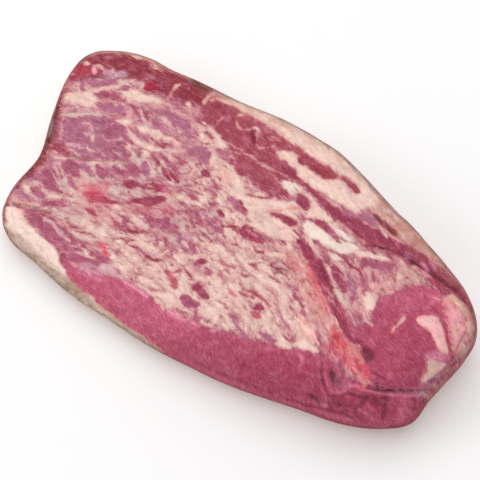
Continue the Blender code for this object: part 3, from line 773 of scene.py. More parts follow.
# The field of fat in the middle.
MIDDLE_FIELD = (
    ("lean", "mauve", stroke((0.8, 1.9, 1.2), (109, 215), (115, 224), (126, 233))),
    ("lean", "mauve", stroke((0.8, 1.9, 1.2), (122, 217), (125, 225), (129, 231))),
    ("lean", "dark_red", stroke((0.8, 1.9, 1), (127, 230), (134, 232), (141, 234))),
    ("lean", "wine", stroke((0.5, 1, 0.6), (113, 238), (124, 239), (138, 241))),
    ("lean", "lilac", stroke((0.6, 1.1, 0.6), (113, 239), (119, 247), (126, 254))),
    ("lean", "mauve", stroke((0.8, 1.9, 0.9), (132, 246), (138, 248), (144, 254))),
    ("lean", "raw_red", area((97, 243), (103, 243), (107, 249), (111, 257),
        (107, 258), (101, 250)), 2.4, 2.4),
    ("lean", "raw_red", stroke((0.6, 1, 0.6), (103, 245), (108, 245), (113, 246))),
    ("lean", "mauve", area((140, 211), (150, 215), (160, 220), (168, 218), (172, 213), (172, 221),
        (168, 229), (158, 230), (150, 225), (143, 219)), 3.0, 2.2),
    ("lean", "lilac", area((174, 230), (180, 234), (186, 238), (192, 246), (196, 254), (192, 257),
        (184, 252), (178, 244)), 3.0, 2.4),
    ("fat", "cream", area((182, 240), (187, 242), (190, 246), (187, 249), (183, 245))),
    ("lean", "dark_red", stroke((0.6, 1.3, 0.8), (163, 234), (166, 243), (166, 250))),
    ("lean", "mauve", stroke((1.4, 3, 3.4, 2.6, 1.4), (182, 210), (195, 215), (209, 224),
        (223, 231), (237, 246)), 2.8, 2.4),
    ("fat", "cream", area((226, 226), (236, 230), (244, 240), (240, 248),
        (230, 242), (222, 233)), 2.6, 3.4),
    ("fat", "cream", area((256, 246), (266, 250), (278, 262), (270, 264), (260, 257)), 2.6, 2.8),
    ("fat", "cream", area((119, 242), (128, 243), (133, 253), (126, 259), (119, 251)), 2.6, 3.0),
    ("fat", "cream", area((146, 244), (154, 246), (158, 255), (150, 256), (144, 251)), 2.6, 3.0),
    ("fat", "cream", area((263, 225), (280, 229), (296, 236), (294, 244),
        (280, 242), (266, 235)), 2.2, 3.6),
    ("fat", "cream", area((232, 297), (242, 296), (249, 304), (242, 310), (234, 306)), 2.4, 3.0),
    ("fat", "cream", area((228, 307), (239, 308), (248, 315), (245, 321), (235, 317)), 1.9, 3.0),
    ("fat", "cream", area((131, 214), (140, 217), (146, 225), (140, 229), (132, 223)), 1.9, 3.0),
    ("fat", "cream", stroke((1.4, 2.8, 3, 1.6), (136, 267), (146, 263),
        (158, 257), (170, 251)), 1.9, 3.2),
    ("fat", "cream", area((190, 236), (198, 237), (204, 243), (198, 247), (191, 243)), 2.4, 2.8),
    ("lean", "mauve", area((203, 266), (210, 266), (214, 273), (208, 277), (203, 272)), 2.6, 2.4),
    ("fat", "rosy_fat", area((294, 311), (303, 312), (311, 324), (318, 340),
        (312, 347), (303, 336)), 2.4, 3.0),
    ("lean", "lilac", area((200, 207), (206, 210), (211, 218), (220, 226), (213, 224), (206, 218)), 2.6),
    ("fat", "cream", area((176, 194), (190, 198), (206, 202), (204, 208),
        (190, 206), (176, 202)), 3.0, 3.0),
    ("fat", "cream", area((196, 238), (208, 242), (222, 244), (232, 250), (222, 254),
        (206, 252), (196, 246)), 2.8, 3.0),
    ("fat", "cream", area((222, 226), (232, 228), (240, 236), (238, 242), (228, 236)), 3.0, 2.4),
    ("fat", "cream", area((258, 250), (268, 249), (276, 257), (270, 262), (262, 259)), 2.6, 2.4),
    ("fat", "cream", stroke((2, 3.4, 3.4, 2.4), (136, 284), (152, 293),
        (170, 302), (190, 312)), 2.4, 3.0),
    ("fat", "cream", area((270, 333), (284, 337), (296, 347), (284, 350), (272, 344)), 2.2, 3.0),
    ("lean", "mauve", area((291, 288), (295, 290), (299, 298), (304, 305), (309, 310),
        (300, 306), (293, 297))),
    ("lean", "lilac", stroke((0.8, 1.8, 1.8, 0.8), (277, 309), (281, 316), (286, 323), (291, 331))),
    ("fat", "pink_fat", stroke(0.6, (199, 210), (203, 219), (211, 228))),
    ("lean", "dark_red", stroke((0.7, 1.8, 1), (199, 230), (205, 235), (212, 241))),
    ("lean", "wine", area((216, 210), (221, 209), (225, 214), (226, 219), (221, 218), (217, 214))),
    ("lean", "dark_red", stroke((0.5, 1.1, 0.8), (222, 226), (230, 226), (238, 227))),
    ("lean", "lilac", area((225, 196), (231, 196), (239, 203), (245, 210), (248, 218),
        (240, 212), (231, 204))),
    ("lean", "crimson", stroke((0.5, 1.2, 0.6), (240, 201), (243, 206), (246, 211))),
    ("lean", "wine", area((238, 231), (243, 225), (247, 223), (254, 229), (261, 235), (266, 241),
        (263, 245), (257, 244), (248, 240), (241, 236)), 2.2, 3.0),
    ("lean", "crimson", stroke((0.6, 1.5, 0.8), (249, 235), (255, 239), (260, 243))),
    ("fat", "pink_fat", stroke(0.6, (246, 229), (252, 233), (258, 236))),
    ("lean", "dark_red", stroke((0.7, 1.7, 0.9), (147, 256), (151, 260), (159, 261))),
    ("lean", "wine", area((186, 259), (194, 262), (203, 257), (208, 261), (206, 265),
        (198, 267), (190, 264)), 2.4, 2.4),
    ("fat", "pink_fat", stroke(0.8, (197, 263), (201, 265), (206, 264))),
    ("lean", "red", stroke((0.6, 1.2, 0.7), (211, 258), (220, 262), (235, 268))),
    ("lean", "mauve", stroke((0.7, 1.2, 0.6), (180, 265), (187, 270), (195, 283))),
    ("lean", "raw_edge", area((163, 270), (170, 270), (175, 278), (180, 288), (173, 290), (169, 280))),
    ("lean", "raw_edge", stroke((0.6, 1.1, 0.6), (171, 272), (176, 272), (181, 271))),
    ("lean", "wine", area((190, 286), (196, 282), (201, 283), (206, 292), (210, 299),
        (203, 300), (196, 294))),
    ("lean", "mauve", area((179, 299), (184, 293), (192, 299), (200, 304), (198, 308),
        (190, 309), (182, 304))),
    ("lean", "mauve", stroke((1.4, 1.8, 2.4), (195, 306), (195, 314), (197, 321))),
    ("lean", "lilac", stroke((0.8, 1.4, 2, 2.4), (228, 314), (235, 322), (241, 330), (246, 338))),
    ("lean", "lilac", area((260, 335), (267, 332), (278, 340), (272, 343), (263, 340))),
    ("lean", "wine", area((256, 303), (261, 302), (267, 309), (260, 310), (252, 309))),
    ("lean", "raw_edge", stroke((0.7, 1.8, 0.8), (257, 294), (264, 299), (270, 306)), 2.0, 3.0),
    ("lean", "raw_edge", area((249, 312), (256, 310), (263, 315), (262, 319), (254, 318))),
    ("lean", "red", stroke((0.6, 1.5, 0.8), (243, 289), (254, 292), (262, 300))),
    ("lean", "red", stroke((0.6, 1.2, 0.6), (239, 293), (246, 296), (253, 297))),
    ("lean", "red", stroke((0.6, 1.4, 0.7), (248, 264), (252, 266), (257, 265))),
    ("lean", "red", stroke((0.6, 1.2, 0.6), (242, 274), (245, 276), (249, 275))),
    ("lean", "red", stroke((0.5, 1.1, 0.5), (218, 301), (223, 304), (227, 309))),
    ("lean", "red", stroke((0.6, 1.3, 0.6), (254, 251), (258, 253), (262, 253))),
    ("lean", "raw_red", stroke((0.6, 1.6, 0.6), (228, 288), (231, 293), (235, 297))),
    ("lean", "wine", area((200, 171), (206, 170), (211, 176), (208, 179), (202, 176))),
    ("lean", "wine", stroke((0.6, 1.3, 0.7), (190, 179), (195, 183), (200, 184))),
    ("lean", "red", stroke((0.6, 1.3, 0.7), (183, 174), (187, 174), (191, 170))),
    ("lean", "mauve", stroke((0.8, 1.5, 0.8), (180, 187), (187, 192), (193, 200))),
    ("lean", "wine", stroke((0.5, 1.2, 0.5), (188, 189), (196, 191), (202, 194))),
    ("lean", "lilac", stroke((0.6, 1.8, 0.8), (207, 186), (212, 191), (217, 196))),
    ("lean", "mauve", stroke((0.6, 1.4, 0.8), (211, 178), (214, 183), (218, 187))),
    ("lean", "red", stroke((0.6, 1.2, 0.6), (215, 176), (219, 178), (220, 181))),
    ("lean", "mauve", stroke((0.7, 1.6, 0.8), (234, 206), (238, 210), (243, 213))),
    ("lean", "black_red", stroke(0.6, (270, 265), (275, 268), (284, 269), (292, 272))),
    ("lean", "deep_red", stroke(0.6, (284, 262), (290, 268), (298, 275))),
    ("lean", "deep_red", stroke(0.5, (278, 272), (286, 275), (291, 280))),
    ("fat", "cream", area((200, 308), (208, 305), (218, 307), (221, 318), (216, 327),
        (208, 322), (202, 314))),
    ("fat", "cream", area((160, 292), (170, 291), (178, 298), (178, 308), (168, 307), (160, 301))),
    ("fat", "cream", area((266, 278), (276, 280), (288, 296), (294, 308),
        (284, 306), (272, 292)), 2.2, 3.0),
    ("fat", "cream", area((296, 338), (312, 340), (322, 354), (306, 351), (290, 347))),
)  # fmt: skip

# The lean above the seam, with its threads of white.
FAR_LEAN = (
    ("fat", "cream", stroke((0.6, 1, 1.1, 0.8), (237, 120), (238, 116), (244, 114), (250, 114))),
    ("fat", "pink_fat", stroke(0.8, (237, 119), (237, 126), (242, 130), (250, 129))),
    ("fat", "cream", stroke((0.8, 1.8, 0.8), (253, 128), (258, 128), (258, 132))),
    ("fat", "pink_fat", stroke(0.9, (257, 133), (257, 140), (258, 148), (266, 147), (272, 147))),
    ("fat", "pink_fat", stroke(0.8, (273, 146), (274, 139), (270, 135), (276, 138), (282, 142))),
    ("fat", "pink_fat", stroke(0.8, (274, 144), (278, 150), (280, 155))),
    ("fat", "pink_fat", stroke(0.8, (216, 126), (219, 122), (222, 119))),
    ("lean", "deep_red", stroke((1, 2.4, 1.4), (251, 130), (254, 136), (255, 143))),
    ("fat", "lilac_fat", stroke((0.6, 0.9, 1.1, 1.4, 1.1, 0.7), (224, 140), (240, 150), (252, 157),
        (264, 166), (276, 171), (296, 180))),
    ("fat", "lilac_fat", stroke(0.6, (232, 150), (244, 157), (258, 160))),
    ("fat", "lilac_fat", stroke(0.6, (268, 172), (276, 178), (282, 186))),
    ("fat", "cream", area((276, 151), (285, 150), (296, 153), (302, 162), (312, 172), (326, 180),
        (342, 178), (350, 187), (358, 195), (366, 206), (362, 216), (350, 211), (338, 203),
        (324, 195), (310, 187), (301, 180), (296, 172), (288, 166), (280, 160))),
    ("lean", "dark_red", area((297, 159), (306, 155), (312, 160), (308, 166), (300, 164))),
    ("lean", "dark_red", area((311, 165), (320, 163), (332, 170), (340, 178), (330, 180),
        (320, 177), (313, 171))),
    ("fat", "cream", area((357, 184), (363, 181), (369, 185), (376, 191), (380, 198), (379, 206),
        (374, 209), (364, 208), (356, 204), (351, 197), (353, 190))),
    ("lean", "dark_red", area((345, 182), (352, 181), (358, 187), (358, 194), (353, 192), (348, 187))),
    ("fat", "lilac_fat", stroke(0.7, (343, 184), (348, 189), (352, 196))),
    ("lean", "wine", area((280, 158), (288, 163), (296, 171), (301, 181), (292, 180), (284, 172))),
    ("fat", "pale_grey", area((280, 181), (290, 181), (300, 185), (303, 192),
        (296, 197), (287, 193)), 2.4, 2.8),
    ("lean", "red", area((228, 157), (238, 160), (247, 170), (243, 179), (234, 172)), 2.2, 3.4),
    ("lean", "red", stroke((1, 2, 2.2, 1.2), (341, 176), (347, 180), (353, 185), (358, 191)), 2.2, 2.8),
    ("fat", "cream", stroke((1.2, 2.6, 3, 2), (304, 190), (312, 200), (319, 212), (327, 221))),
    ("lean", "wine", area((296, 195), (300, 192), (306, 198), (311, 206), (313, 214),
        (306, 213), (299, 206))),
    ("lean", "wine", stroke((1.4, 2.6, 3.6, 5, 7, 9, 7.5, 8, 8, 6, 3.5), (304, 184), (316, 194),
        (328, 207), (342, 217), (356, 227), (374, 238), (394, 247), (416, 259),
        (438, 273), (456, 289), (472, 308))),
    ("fat", "cream", area((309, 200), (316, 203), (326, 211), (335, 221), (326, 224), (314, 219),
        (302, 219), (309, 211)), 1.8),
    ("fat", "lilac_fat", stroke((0.8, 1.2, 0.8), (318, 194), (332, 204), (344, 211))),
    ("lean", "lilac", stroke((0.8, 1.6, 1.8, 1), (344, 213), (356, 217), (366, 221), (376, 226))),
    ("lean", "lilac", area((360, 210), (367, 211), (374, 218), (379, 225), (373, 226),
        (366, 220), (361, 214))),
    ("lean", "wine", area((373, 212), (382, 218), (393, 228), (401, 239), (394, 236),
        (385, 228), (376, 220)), 1.8, 3.0),
    ("fat", "cream", area((377, 223), (382, 226), (387, 233), (389, 239), (384, 237), (379, 231))),
    ("fat", "cream", area((245, 200), (256, 200), (272, 199), (290, 200), (297, 202), (298, 207),
        (286, 208), (270, 208), (256, 206))),
    ("fat", "salmon", stroke((0.8, 1.3, 0.8), (264, 212), (280, 210), (297, 208))),
    ("lean", "wine", area((269, 213), (278, 213), (290, 217), (299, 223), (294, 228),
        (285, 223), (277, 217))),
    ("lean", "wine", stroke((0.5, 1, 0.5), (248, 195), (258, 197), (268, 199))),
)  # fmt: skip

# The white strip and what lies below it.
WHITE_STRIP = (
    ("fat", "pale_grey", area((302, 222), (314, 221), (324, 227), (332, 237), (346, 241), (358, 246),
        (362, 251), (354, 254), (342, 256), (334, 252), (322, 243), (310, 239), (303, 232))),
    ("fat", "pale_grey", area((326, 222), (334, 222), (342, 230), (350, 238), (358, 245),
        (344, 241), (334, 234))),
    ("fat", "cream", area((350, 250), (366, 251), (380, 254), (391, 258), (391, 263),
        (382, 263), (368, 259), (356, 257))),
    ("lean", "wine", area((313, 222), (321, 220), (328, 224), (334, 230), (334, 236),
        (328, 233), (321, 228))),
    ("lean", "wine", stroke((0.7, 1.4, 0.6), (330, 232), (335, 238), (341, 243))),
    ("lean", "wine", stroke((0.7, 1.5, 0.7), (295, 231), (301, 236), (306, 241))),
    ("lean", "mauve", stroke((0.6, 1.3, 0.7), (316, 242), (321, 246), (326, 252))),
    ("lean", "wine", stroke((0.4, 1, 0.5), (328, 249), (333, 252), (337, 256))),
    ("lean", "wine", area((295, 240), (301, 237), (308, 245), (316, 254), (323, 264), (329, 273),
        (331, 282), (335, 291), (340, 302), (345, 312), (349, 323), (356, 335), (364, 343),
        (356, 346), (348, 340), (341, 330), (335, 320), (331, 308), (325, 296), (319, 286),
        (313, 275), (308, 264), (301, 253), (297, 246))),
    ("fat", "pearl", stroke(0.6, (312, 249), (316, 254), (319, 259))),
    ("fat", "pearl", stroke(0.6, (321, 281), (325, 288), (332, 297))),
    ("fat", "pearl", stroke(0.5, (328, 298), (336, 306), (343, 318))),
    ("lean", "deep_red", stroke(0.8, (322, 268), (326, 278), (332, 290), (340, 302))),
    ("fat", "grey_fat", area((326, 252), (338, 254), (344, 261), (334, 263)), 2.2),
    ("fat", "pale_grey", stroke((1, 2, 2.4, 1.6), (322, 250), (330, 255),
        (340, 259), (351, 262)), 2.4, 2.8),
    ("fat", "pink_fat", area((396, 268), (412, 264), (426, 270), (434, 280), (424, 284),
        (406, 286), (394, 284)), 3.0, 1.8),
    ("lean", "wine", area((424, 275), (436, 279), (448, 287), (458, 298), (446, 295), (434, 288))),
    ("lean", "raw_red", area((331, 322), (337, 325), (343, 338), (351, 345), (341, 351),
        (332, 347), (328, 334)), 3.0, 1.6),
    ("lean", "raw_red", stroke((0.8, 2, 2.4, 2, 1), (306, 262), (312, 274), (317, 287),
        (323, 301), (330, 316)), 2.8, 1.6),
    ("lean", "wine", area((330, 265), (336, 265), (342, 271), (347, 280), (348, 292),
        (343, 294), (336, 283), (331, 275))),
    ("fat", "pearl", stroke(0.5, (334, 271), (340, 275), (345, 281))),
    ("fat", "grey_fat", area((332, 283), (338, 289), (345, 298), (348, 307), (342, 305), (334, 294))),
    ("lean", "lilac", stroke((0.8, 2.6, 3, 1.6), (346, 268), (350, 280), (353, 292), (352, 304))),
    ("fat", "lilac_fat", stroke(0.8, (347, 262), (352, 274), (357, 288))),
    ("lean", "wine", stroke((0.6, 1.6, 1.8, 0.7), (343, 257), (350, 264), (357, 269), (361, 274))),
    ("lean", "mauve", area((360, 260), (366, 259), (371, 263), (367, 268), (361, 266))),
    ("lean", "mauve", area((366, 262), (376, 259), (386, 262), (395, 262), (394, 268),
        (388, 271), (379, 268), (371, 268))),
    ("lean", "mauve", stroke((1.6, 2.2, 1.2), (373, 271), (373, 276), (374, 282))),
    ("fat", "pink_fat", area((379, 274), (388, 273), (394, 280), (390, 288),
        (382, 290), (378, 283)), 2.6, 2.6),
    ("lean", "mauve", area((360, 278), (365, 278), (366, 284), (361, 286))),
    ("fat", "cream", area((362, 294), (370, 290), (378, 298), (376, 310), (368, 312), (362, 304))),
    ("lean", "raw_red", stroke((0.5, 1.3, 0.5), (361, 290), (364, 293), (366, 296))),
    ("fat", "pearl", stroke((0.8, 2, 0.8), (364, 318), (369, 322), (372, 326))),
)  # fmt: skip

# The point end.
POINT_END = (
    ("fat", "pink_fat", stroke((2.8, 2.4, 1.8, 0.8), (404, 318), (401, 322), (397, 326), (391, 333))),
    ("fat", "rosy_fat", area((415, 320), (423, 316), (432, 315), (439, 318), (442, 324), (444, 332),
        (447, 341), (450, 350), (449, 356), (439, 352), (434, 343), (432, 335), (427, 329), (419, 327))),
    ("fat", "cream", area((425, 360), (434, 360), (443, 361), (449, 363), (444, 368), (439, 373),
        (433, 377), (428, 381), (421, 383), (421, 378), (425, 374), (427, 367)), 1.5, 2.8),
    ("fat", "rind", area((445, 296), (452, 293), (461, 302), (470, 314), (462, 312), (452, 303))),
    ("fat", "pink_fat", stroke((0.5, 1.1, 0.5), (431, 296), (436, 298), (441, 299))),
    ("lean", "raw_red", area((343, 358), (350, 361), (358, 362), (363, 364), (369, 368), (369, 380),
        (368, 388), (364, 388), (361, 379), (356, 374), (348, 369)), 2.8, 1.2),
)  # fmt: skip

PATCHES = (
    *FAR_EDGE, *MEMBRANES, *LILAC_PATCH, *LEAVES, *NEAR_CORNER, *MIDDLE_FIELD, *FAR_LEAN, *WHITE_STRIP,
    *POINT_END,
)  # fmt: skip

# The tints, part by part: colour, strength, shape, soft, and the tissue where it isn't both. First
# the soft colours over whole parts, among them painted light and shade on the cut band.
SOFT_COLOURS = (
    ("wine", 0.35, area((100, 120), (128, 128), (128, 150), (104, 150)), 8, "lean"),
    ("raw_red", 0.35, area((70, 176), (84, 178), (110, 200), (120, 224), (100, 226), (84, 206)), 8),
    ("raw_edge", 0.4, area((226, 98), (250, 108), (290, 128), (330, 160), (345, 182), (330, 176),
        (300, 152), (262, 132), (236, 118)), 6, "lean"),
    ("hot_pink", 0.7, area((423, 354), (436, 350), (448, 348), (452, 360), (430, 363)), 4, "lean"),
    ("raw_red", 0.5, area((322, 336), (334, 338), (342, 352), (346, 362), (336, 362), (324, 352)), 4),
    # painted light: the foot of the cut band made lighter
    ("rose", 0.35, stroke(4, (170, 358), (210, 376), (250, 392), (300, 409),
        (350, 422), (385, 426)), 4, "lean"),
    ("salmon", 0.5, area((300, 246), (318, 262), (332, 292), (342, 318), (334, 320),
        (320, 292), (306, 266)), 5, "fat"),
    # painted light: the left of the cut band lighter
    ("rose", 0.7, area((58, 252), (84, 272), (120, 280), (160, 306), (206, 328), (176, 340),
        (140, 335), (96, 302)), 14, "lean"),
    # painted shade: the cut band darker towards the point end
    ("band_dark", 0.6, area((236, 345), (320, 360), (345, 392), (430, 400), (410, 430),
        (330, 424), (236, 392)), 12, "lean"),
    ("dark_red", 0.35, area((200, 100), (225, 100), (232, 128), (210, 126)), 6, "lean"),
    ("rose", 0.35, area((380, 300), (400, 291), (436, 290), (440, 304),
        (410, 306), (384, 314)), 6, "lean"),
    ("raw_red", 0.75, area((80, 182), (92, 184), (106, 183), (112, 190), (98, 199), (86, 196)), 4),
    ("raw_red", 0.35, area((122, 204), (150, 205), (172, 204), (176, 212), (160, 218),
        (140, 214), (122, 214)), 5),
    ("raw_red", 0.35, area((160, 184), (176, 190), (172, 202), (160, 196)), 5),
    ("raw_red", 0.5, area((72, 66), (84, 66), (90, 70), (90, 78), (74, 80)), 4),
    ("salmon", 0.6, area((284, 250), (298, 254), (312, 272), (320, 292), (332, 316), (334, 332),
        (322, 332), (306, 304), (296, 280), (284, 262)), 6),
    ("salmon", 0.5, area((212, 158), (226, 168), (236, 182), (226, 186), (214, 172)), 5, "fat"),
    ("green_fat", 0.55, area((268, 254), (284, 256), (300, 274), (294, 288), (276, 276)), 6, "fat"),
    ("green_fat", 0.4, area((396, 264), (424, 266), (440, 284), (420, 288), (398, 284)), 6, "fat"),
    ("lilac_fat", 0.6, area((342, 258), (356, 262), (360, 296), (350, 306), (344, 286)), 6, "fat"),
    ("salmon", 0.7, area((16, 206), (26, 212), (34, 226), (26, 224), (18, 214)), 4, "fat"),
    ("salmon", 0.5, area((112, 112), (121, 114), (122, 120), (113, 119)), 3),
)  # fmt: skip

# The blood in the seam, and painted shade in the pit beside it.
SEAM_BLOOD_AND_SHADE = (
    ("blood", 0.65, stroke((0.5, 1, 1.4, 1.6, 1.4), (270, 242), (286, 252), (298, 266),
        (309, 276), (316, 294)), 2),
    ("blood", 0.75, stroke((1, 1.6, 1.6, 1.2), (311, 284), (317, 297), (322, 306), (328, 315)), 2.5),
    ("blood", 0.75, area((332, 324), (336, 326), (341, 338), (350, 345), (362, 350), (366, 356),
        (360, 366), (354, 364), (344, 358), (334, 352), (331, 342)), 3),
    ("crimson", 0.7, stroke((1, 2, 2.4, 1.4), (336, 326), (334, 336), (332, 346), (334, 350)), 2.5),
    ("crimson", 0.6, stroke((1, 2, 1.2), (352, 358), (357, 362), (361, 370)), 2.5),
    ("salmon", 0.6, area((344, 346), (356, 348), (358, 354), (346, 354)), 3),
    # painted shade in the pit
    ("deep_red", 0.7, area((360, 346), (370, 347), (376, 356), (370, 364), (362, 360)), 3),
    ("black_red", 0.6, stroke((1.4, 2.6, 2.2, 1), (363, 350), (367, 353), (368, 358), (366, 364)), 3),
    ("blood", 0.7, stroke((3, 5, 4.4, 2.4), (348, 356), (355, 364), (361, 374), (366, 385)), 3.5),
    ("crimson", 0.8, stroke((0.8, 1.4, 0.8), (354, 359), (359, 365), (361, 371)), 1.6),
    ("rosy_fat", 0.6, stroke((0.8, 1.4, 1), (353, 367), (360, 375), (365, 386)), 1.4),
)  # fmt: skip

# The creases and folds at the near flank: painted shade in the creases and painted highlights on the
# ridges and lobes.
FOLD_SHADE_AND_HIGHLIGHTS = (
    ("black_red", 0.8, area((329, 369), (332, 366), (336, 374), (342, 384), (337, 387),
        (332, 383), (329, 377)), 2.8),
    ("deep_red", 0.9, stroke((0.8, 1.4, 1.4, 1), (322, 356), (321, 368), (322, 380), (326, 391)), 1.3),
    ("rose", 0.6, stroke((0.8, 1.6, 1.6, 1), (325, 357), (326, 370), (327, 382), (331, 391)), 1.3),
    ("rose", 0.9, stroke((1, 1.8, 2, 1.8, 1.6, 1.6, 1.6, 1.4), (331, 390), (337, 393), (344, 390),
        (350, 385), (358, 386), (366, 390), (380, 393), (392, 395)), 1.3),
    ("hot_pink", 0.6, stroke((1, 1.5, 1.5, 1), (388, 394), (398, 395), (410, 396), (420, 395)), 1.3),
    ("black_red", 0.95, stroke((0.6, 1, 1.1, 0.9, 0.6), (366, 388), (377, 390), (392, 391),
        (406, 391), (422, 391)), 1.1),
    ("black_red", 0.8, stroke((0.6, 1.1, 0.8), (376, 379), (378, 385), (377, 389)), 1.1),
    ("rose", 0.7, stroke(0.7, (379, 385), (388, 388), (397, 390)), 0.9),
    ("deep_red", 0.7, stroke(0.9, (374, 372), (380, 377), (386, 378)), 1.4),
    ("deep_red", 0.8, stroke((0.6, 1, 1.4, 1.2, 1, 0.6), (331, 396), (339, 397), (348, 392),
        (358, 397), (372, 397), (392, 399)), 1.3),
    ("black_red", 0.6, stroke((2, 1.8, 1, 0.8), (367, 397), (362, 403), (356, 408), (354, 413)), 2.6),
    ("deep_red", 0.5, stroke((0.8, 0.9, 0.8), (354, 413), (358, 418), (369, 423)), 1.8),
    ("black_red", 0.6, stroke((2, 2.6, 2, 0.8), (385, 398), (386, 404), (384, 411), (382, 418)), 2.8),
    ("deep_red", 0.6, area((366, 397), (380, 397), (382, 404), (376, 408), (370, 402)), 2.5),
    ("deep_red", 0.8, stroke((0.8, 1.1, 0.8), (331, 398), (335, 402), (340, 405)), 1.3),
    ("deep_red", 0.7, stroke((0.8, 1, 0.6), (328, 396), (330, 404), (331, 410)), 1.3),
    ("black_red", 0.75, stroke((1.4, 2.4, 1), (309, 395), (317, 399), (321, 406)), 2),
    ("deep_red", 0.6, stroke((2, 4, 2), (330, 402), (350, 407), (342, 412)), 4),
    ("deep_red", 0.8, stroke(0.8, (300, 404), (314, 407), (330, 411), (344, 414), (358, 420)), 1.3),
    ("rose", 0.5, stroke((1, 1.6, 1.8, 1), (300, 407), (320, 412), (340, 418), (362, 425)), 1.6),
    ("rose", 0.6, stroke(1, (361, 411), (370, 417), (381, 422)), 1.4),
    ("rose", 0.5, stroke(1.3, (368, 404), (374, 411), (379, 415)), 1.6),
    ("rose", 0.6, stroke((2.5, 5, 3), (402, 398), (405, 410), (400, 421)), 3.5),
    ("rose", 0.7, stroke((0.8, 1.5, 1), (321, 387), (324, 393), (326, 398)), 1.3),
    ("hot_pink", 0.6, stroke(1.3, (322, 405), (326, 406)), 1.3),
    ("hot_pink", 0.5, stroke(1.1, (319, 373), (320, 378)), 1.2),
    ("deep_red", 0.8, stroke(0.9, (414, 398), (415, 404), (414, 411)), 1.4),
    ("rose", 0.5, stroke(1.2, (190, 366), (230, 383), (270, 398), (300, 407)), 1.5),
    ("deep_red", 0.5, stroke(0.8, (196, 363), (236, 380), (276, 395), (302, 404)), 1.3),
    ("deep_red", 0.4, stroke(1.1, (160, 356), (200, 374), (250, 395), (300, 411), (350, 426),
        (380, 429), (402, 427), (411, 421)), 1.4),
)  # fmt: skip

# The mottled rim of the point end.
POINT_RIM = (
    ("raw_red", 0.5, area((440, 299), (451, 300), (456, 312), (446, 314)), 3),
    ("hot_pink", 0.6, area((447, 306), (457, 304), (465, 318), (464, 336), (455, 348), (448, 334)), 3),
    ("raw_red", 0.6, stroke((0.8, 2, 1.6, 0.8), (448, 322), (453, 330), (450, 338), (454, 346)), 2),
    ("rosy_fat", 0.8, area((451, 322), (458, 322), (460, 332), (455, 338), (451, 332)), 2),
    ("rind", 0.9, stroke((2, 2.6, 3, 2.6, 2), (452, 296), (461, 303), (469, 315),
        (473, 327), (470, 341)), 2),
    ("raw_red", 0.9, stroke((0.8, 1.5, 0.8), (451, 303), (455, 306), (456, 309)), 1.4),
    ("crimson", 0.9, stroke((0.8, 1, 1, 0.8), (443, 314), (446, 325), (448, 340), (450, 355)), 1.2),
    ("crimson", 0.85, stroke((0.6, 1, 1, 1), (467, 328), (463, 336), (458, 345), (452, 358)), 1.2),
    # a painted glint
    ("pearl", 0.9, stroke(0.6, (458, 343), (455, 347)), 0.9),
    ("salmon", 0.8, stroke((0.8, 1.2, 0.8), (422, 379), (425, 372), (427, 364)), 1.4),
    ("rose", 0.3, area((400, 291), (424, 288), (440, 292), (438, 306),
        (416, 302), (398, 302)), 5, "lean"),
)  # fmt: skip

# The bright upper edge of the cut lean: painted highlights where its wet edge catches the light.
CUT_EDGE_HIGHLIGHTS = (
    ("hot_pink", 0.9, stroke((1, 1.5, 1.7, 1.2), (124, 281), (134, 287),
        (142, 293), (148, 297)), 1.6, "lean"),
    ("hot_pink", 0.9, stroke((0.8, 1.8, 1.8, 1), (168, 311), (174, 314),
        (178, 318), (186, 320)), 1.6, "lean"),
    ("hot_pink", 0.8, stroke((0.8, 1.4, 0.8), (190, 320), (194, 324), (198, 326)), 1.5, "lean"),
    ("hot_pink", 0.8, stroke((0.8, 1.6, 0.8), (210, 330), (214, 331), (219, 328)), 1.5, "lean"),
    ("hot_pink", 0.6, stroke((0.8, 1.6, 0.8), (298, 354), (303, 358), (300, 366)), 1.6, "lean"),
    ("hot_pink", 0.4, stroke(0.9, (82, 274), (92, 277), (104, 281)), 1.6, "lean"),
)  # fmt: skip

# The long strip of lean and the seam above it, with painted shade in the groove and painted highlights
# on the lean.
LONG_STRIP = (
    # painted shade along the groove between the rim's fat and the lean
    ("wine", 0.6, stroke((2, 3.4, 2), (390, 243), (404, 254), (418, 263)), 2.5),
    ("black_red", 0.8, stroke((0.6, 1.2, 1.6, 2, 1.8, 1.8, 1.8, 1.2), (364, 245), (380, 247),
        (394, 253), (408, 259), (420, 266), (432, 273), (444, 282), (458, 292)), 1.8),
    ("rose", 0.6, stroke((0.6, 1.2, 0.6), (384, 250), (394, 254), (406, 260)), 1.2),
    ("rose", 0.6, stroke((0.6, 1, 0.6), (392, 239), (396, 243), (399, 248)), 1.2),
    ("rose", 0.5, stroke((0.5, 0.8, 0.5), (349, 222), (356, 228), (364, 235)), 1),
    ("rose", 0.5, stroke((0.6, 1.4, 0.6), (420, 268), (427, 274), (434, 281)), 1.4),
    ("rose", 0.5, stroke((0.6, 1.6, 1.6, 0.8), (338, 301), (344, 313), (349, 325), (354, 337)), 1.6),
    ("brown", 0.9, stroke((0.5, 1.1, 1.2, 1, 0.6), (367, 210), (378, 218), (390, 229),
        (402, 241), (417, 251)), 1),
    ("brown", 0.5, stroke(0.6, (378, 209), (388, 215), (401, 221), (412, 231), (419, 241)), 1),
    ("salmon", 0.7, stroke((1, 2.2, 1), (387, 205), (393, 212), (399, 217)), 2),
    ("salmon", 0.5, stroke((1, 2, 1.5), (408, 224), (416, 233), (424, 244)), 2),
    ("brown", 0.4, stroke(0.6, (401, 276), (415, 272), (430, 280)), 1),
    ("brown", 0.4, stroke(0.6, (406, 284), (420, 282), (434, 287)), 1),
    ("raw_red", 0.6, stroke(0.7, (421, 269), (429, 277), (436, 285)), 1),
    # painted highlights on the long strip of lean
    ("hot_pink", 0.8, stroke((1, 1.7, 1.3), (421, 263), (425, 266), (428, 270)), 1.6),
    ("hot_pink", 0.8, stroke((1, 1.9, 1.2), (430, 260), (433, 264), (436, 270)), 1.6),
    ("deep_red", 0.6, stroke((0.6, 1, 0.6), (300, 196), (318, 207), (336, 222)), 1.4, "lean"),
)  # fmt: skip
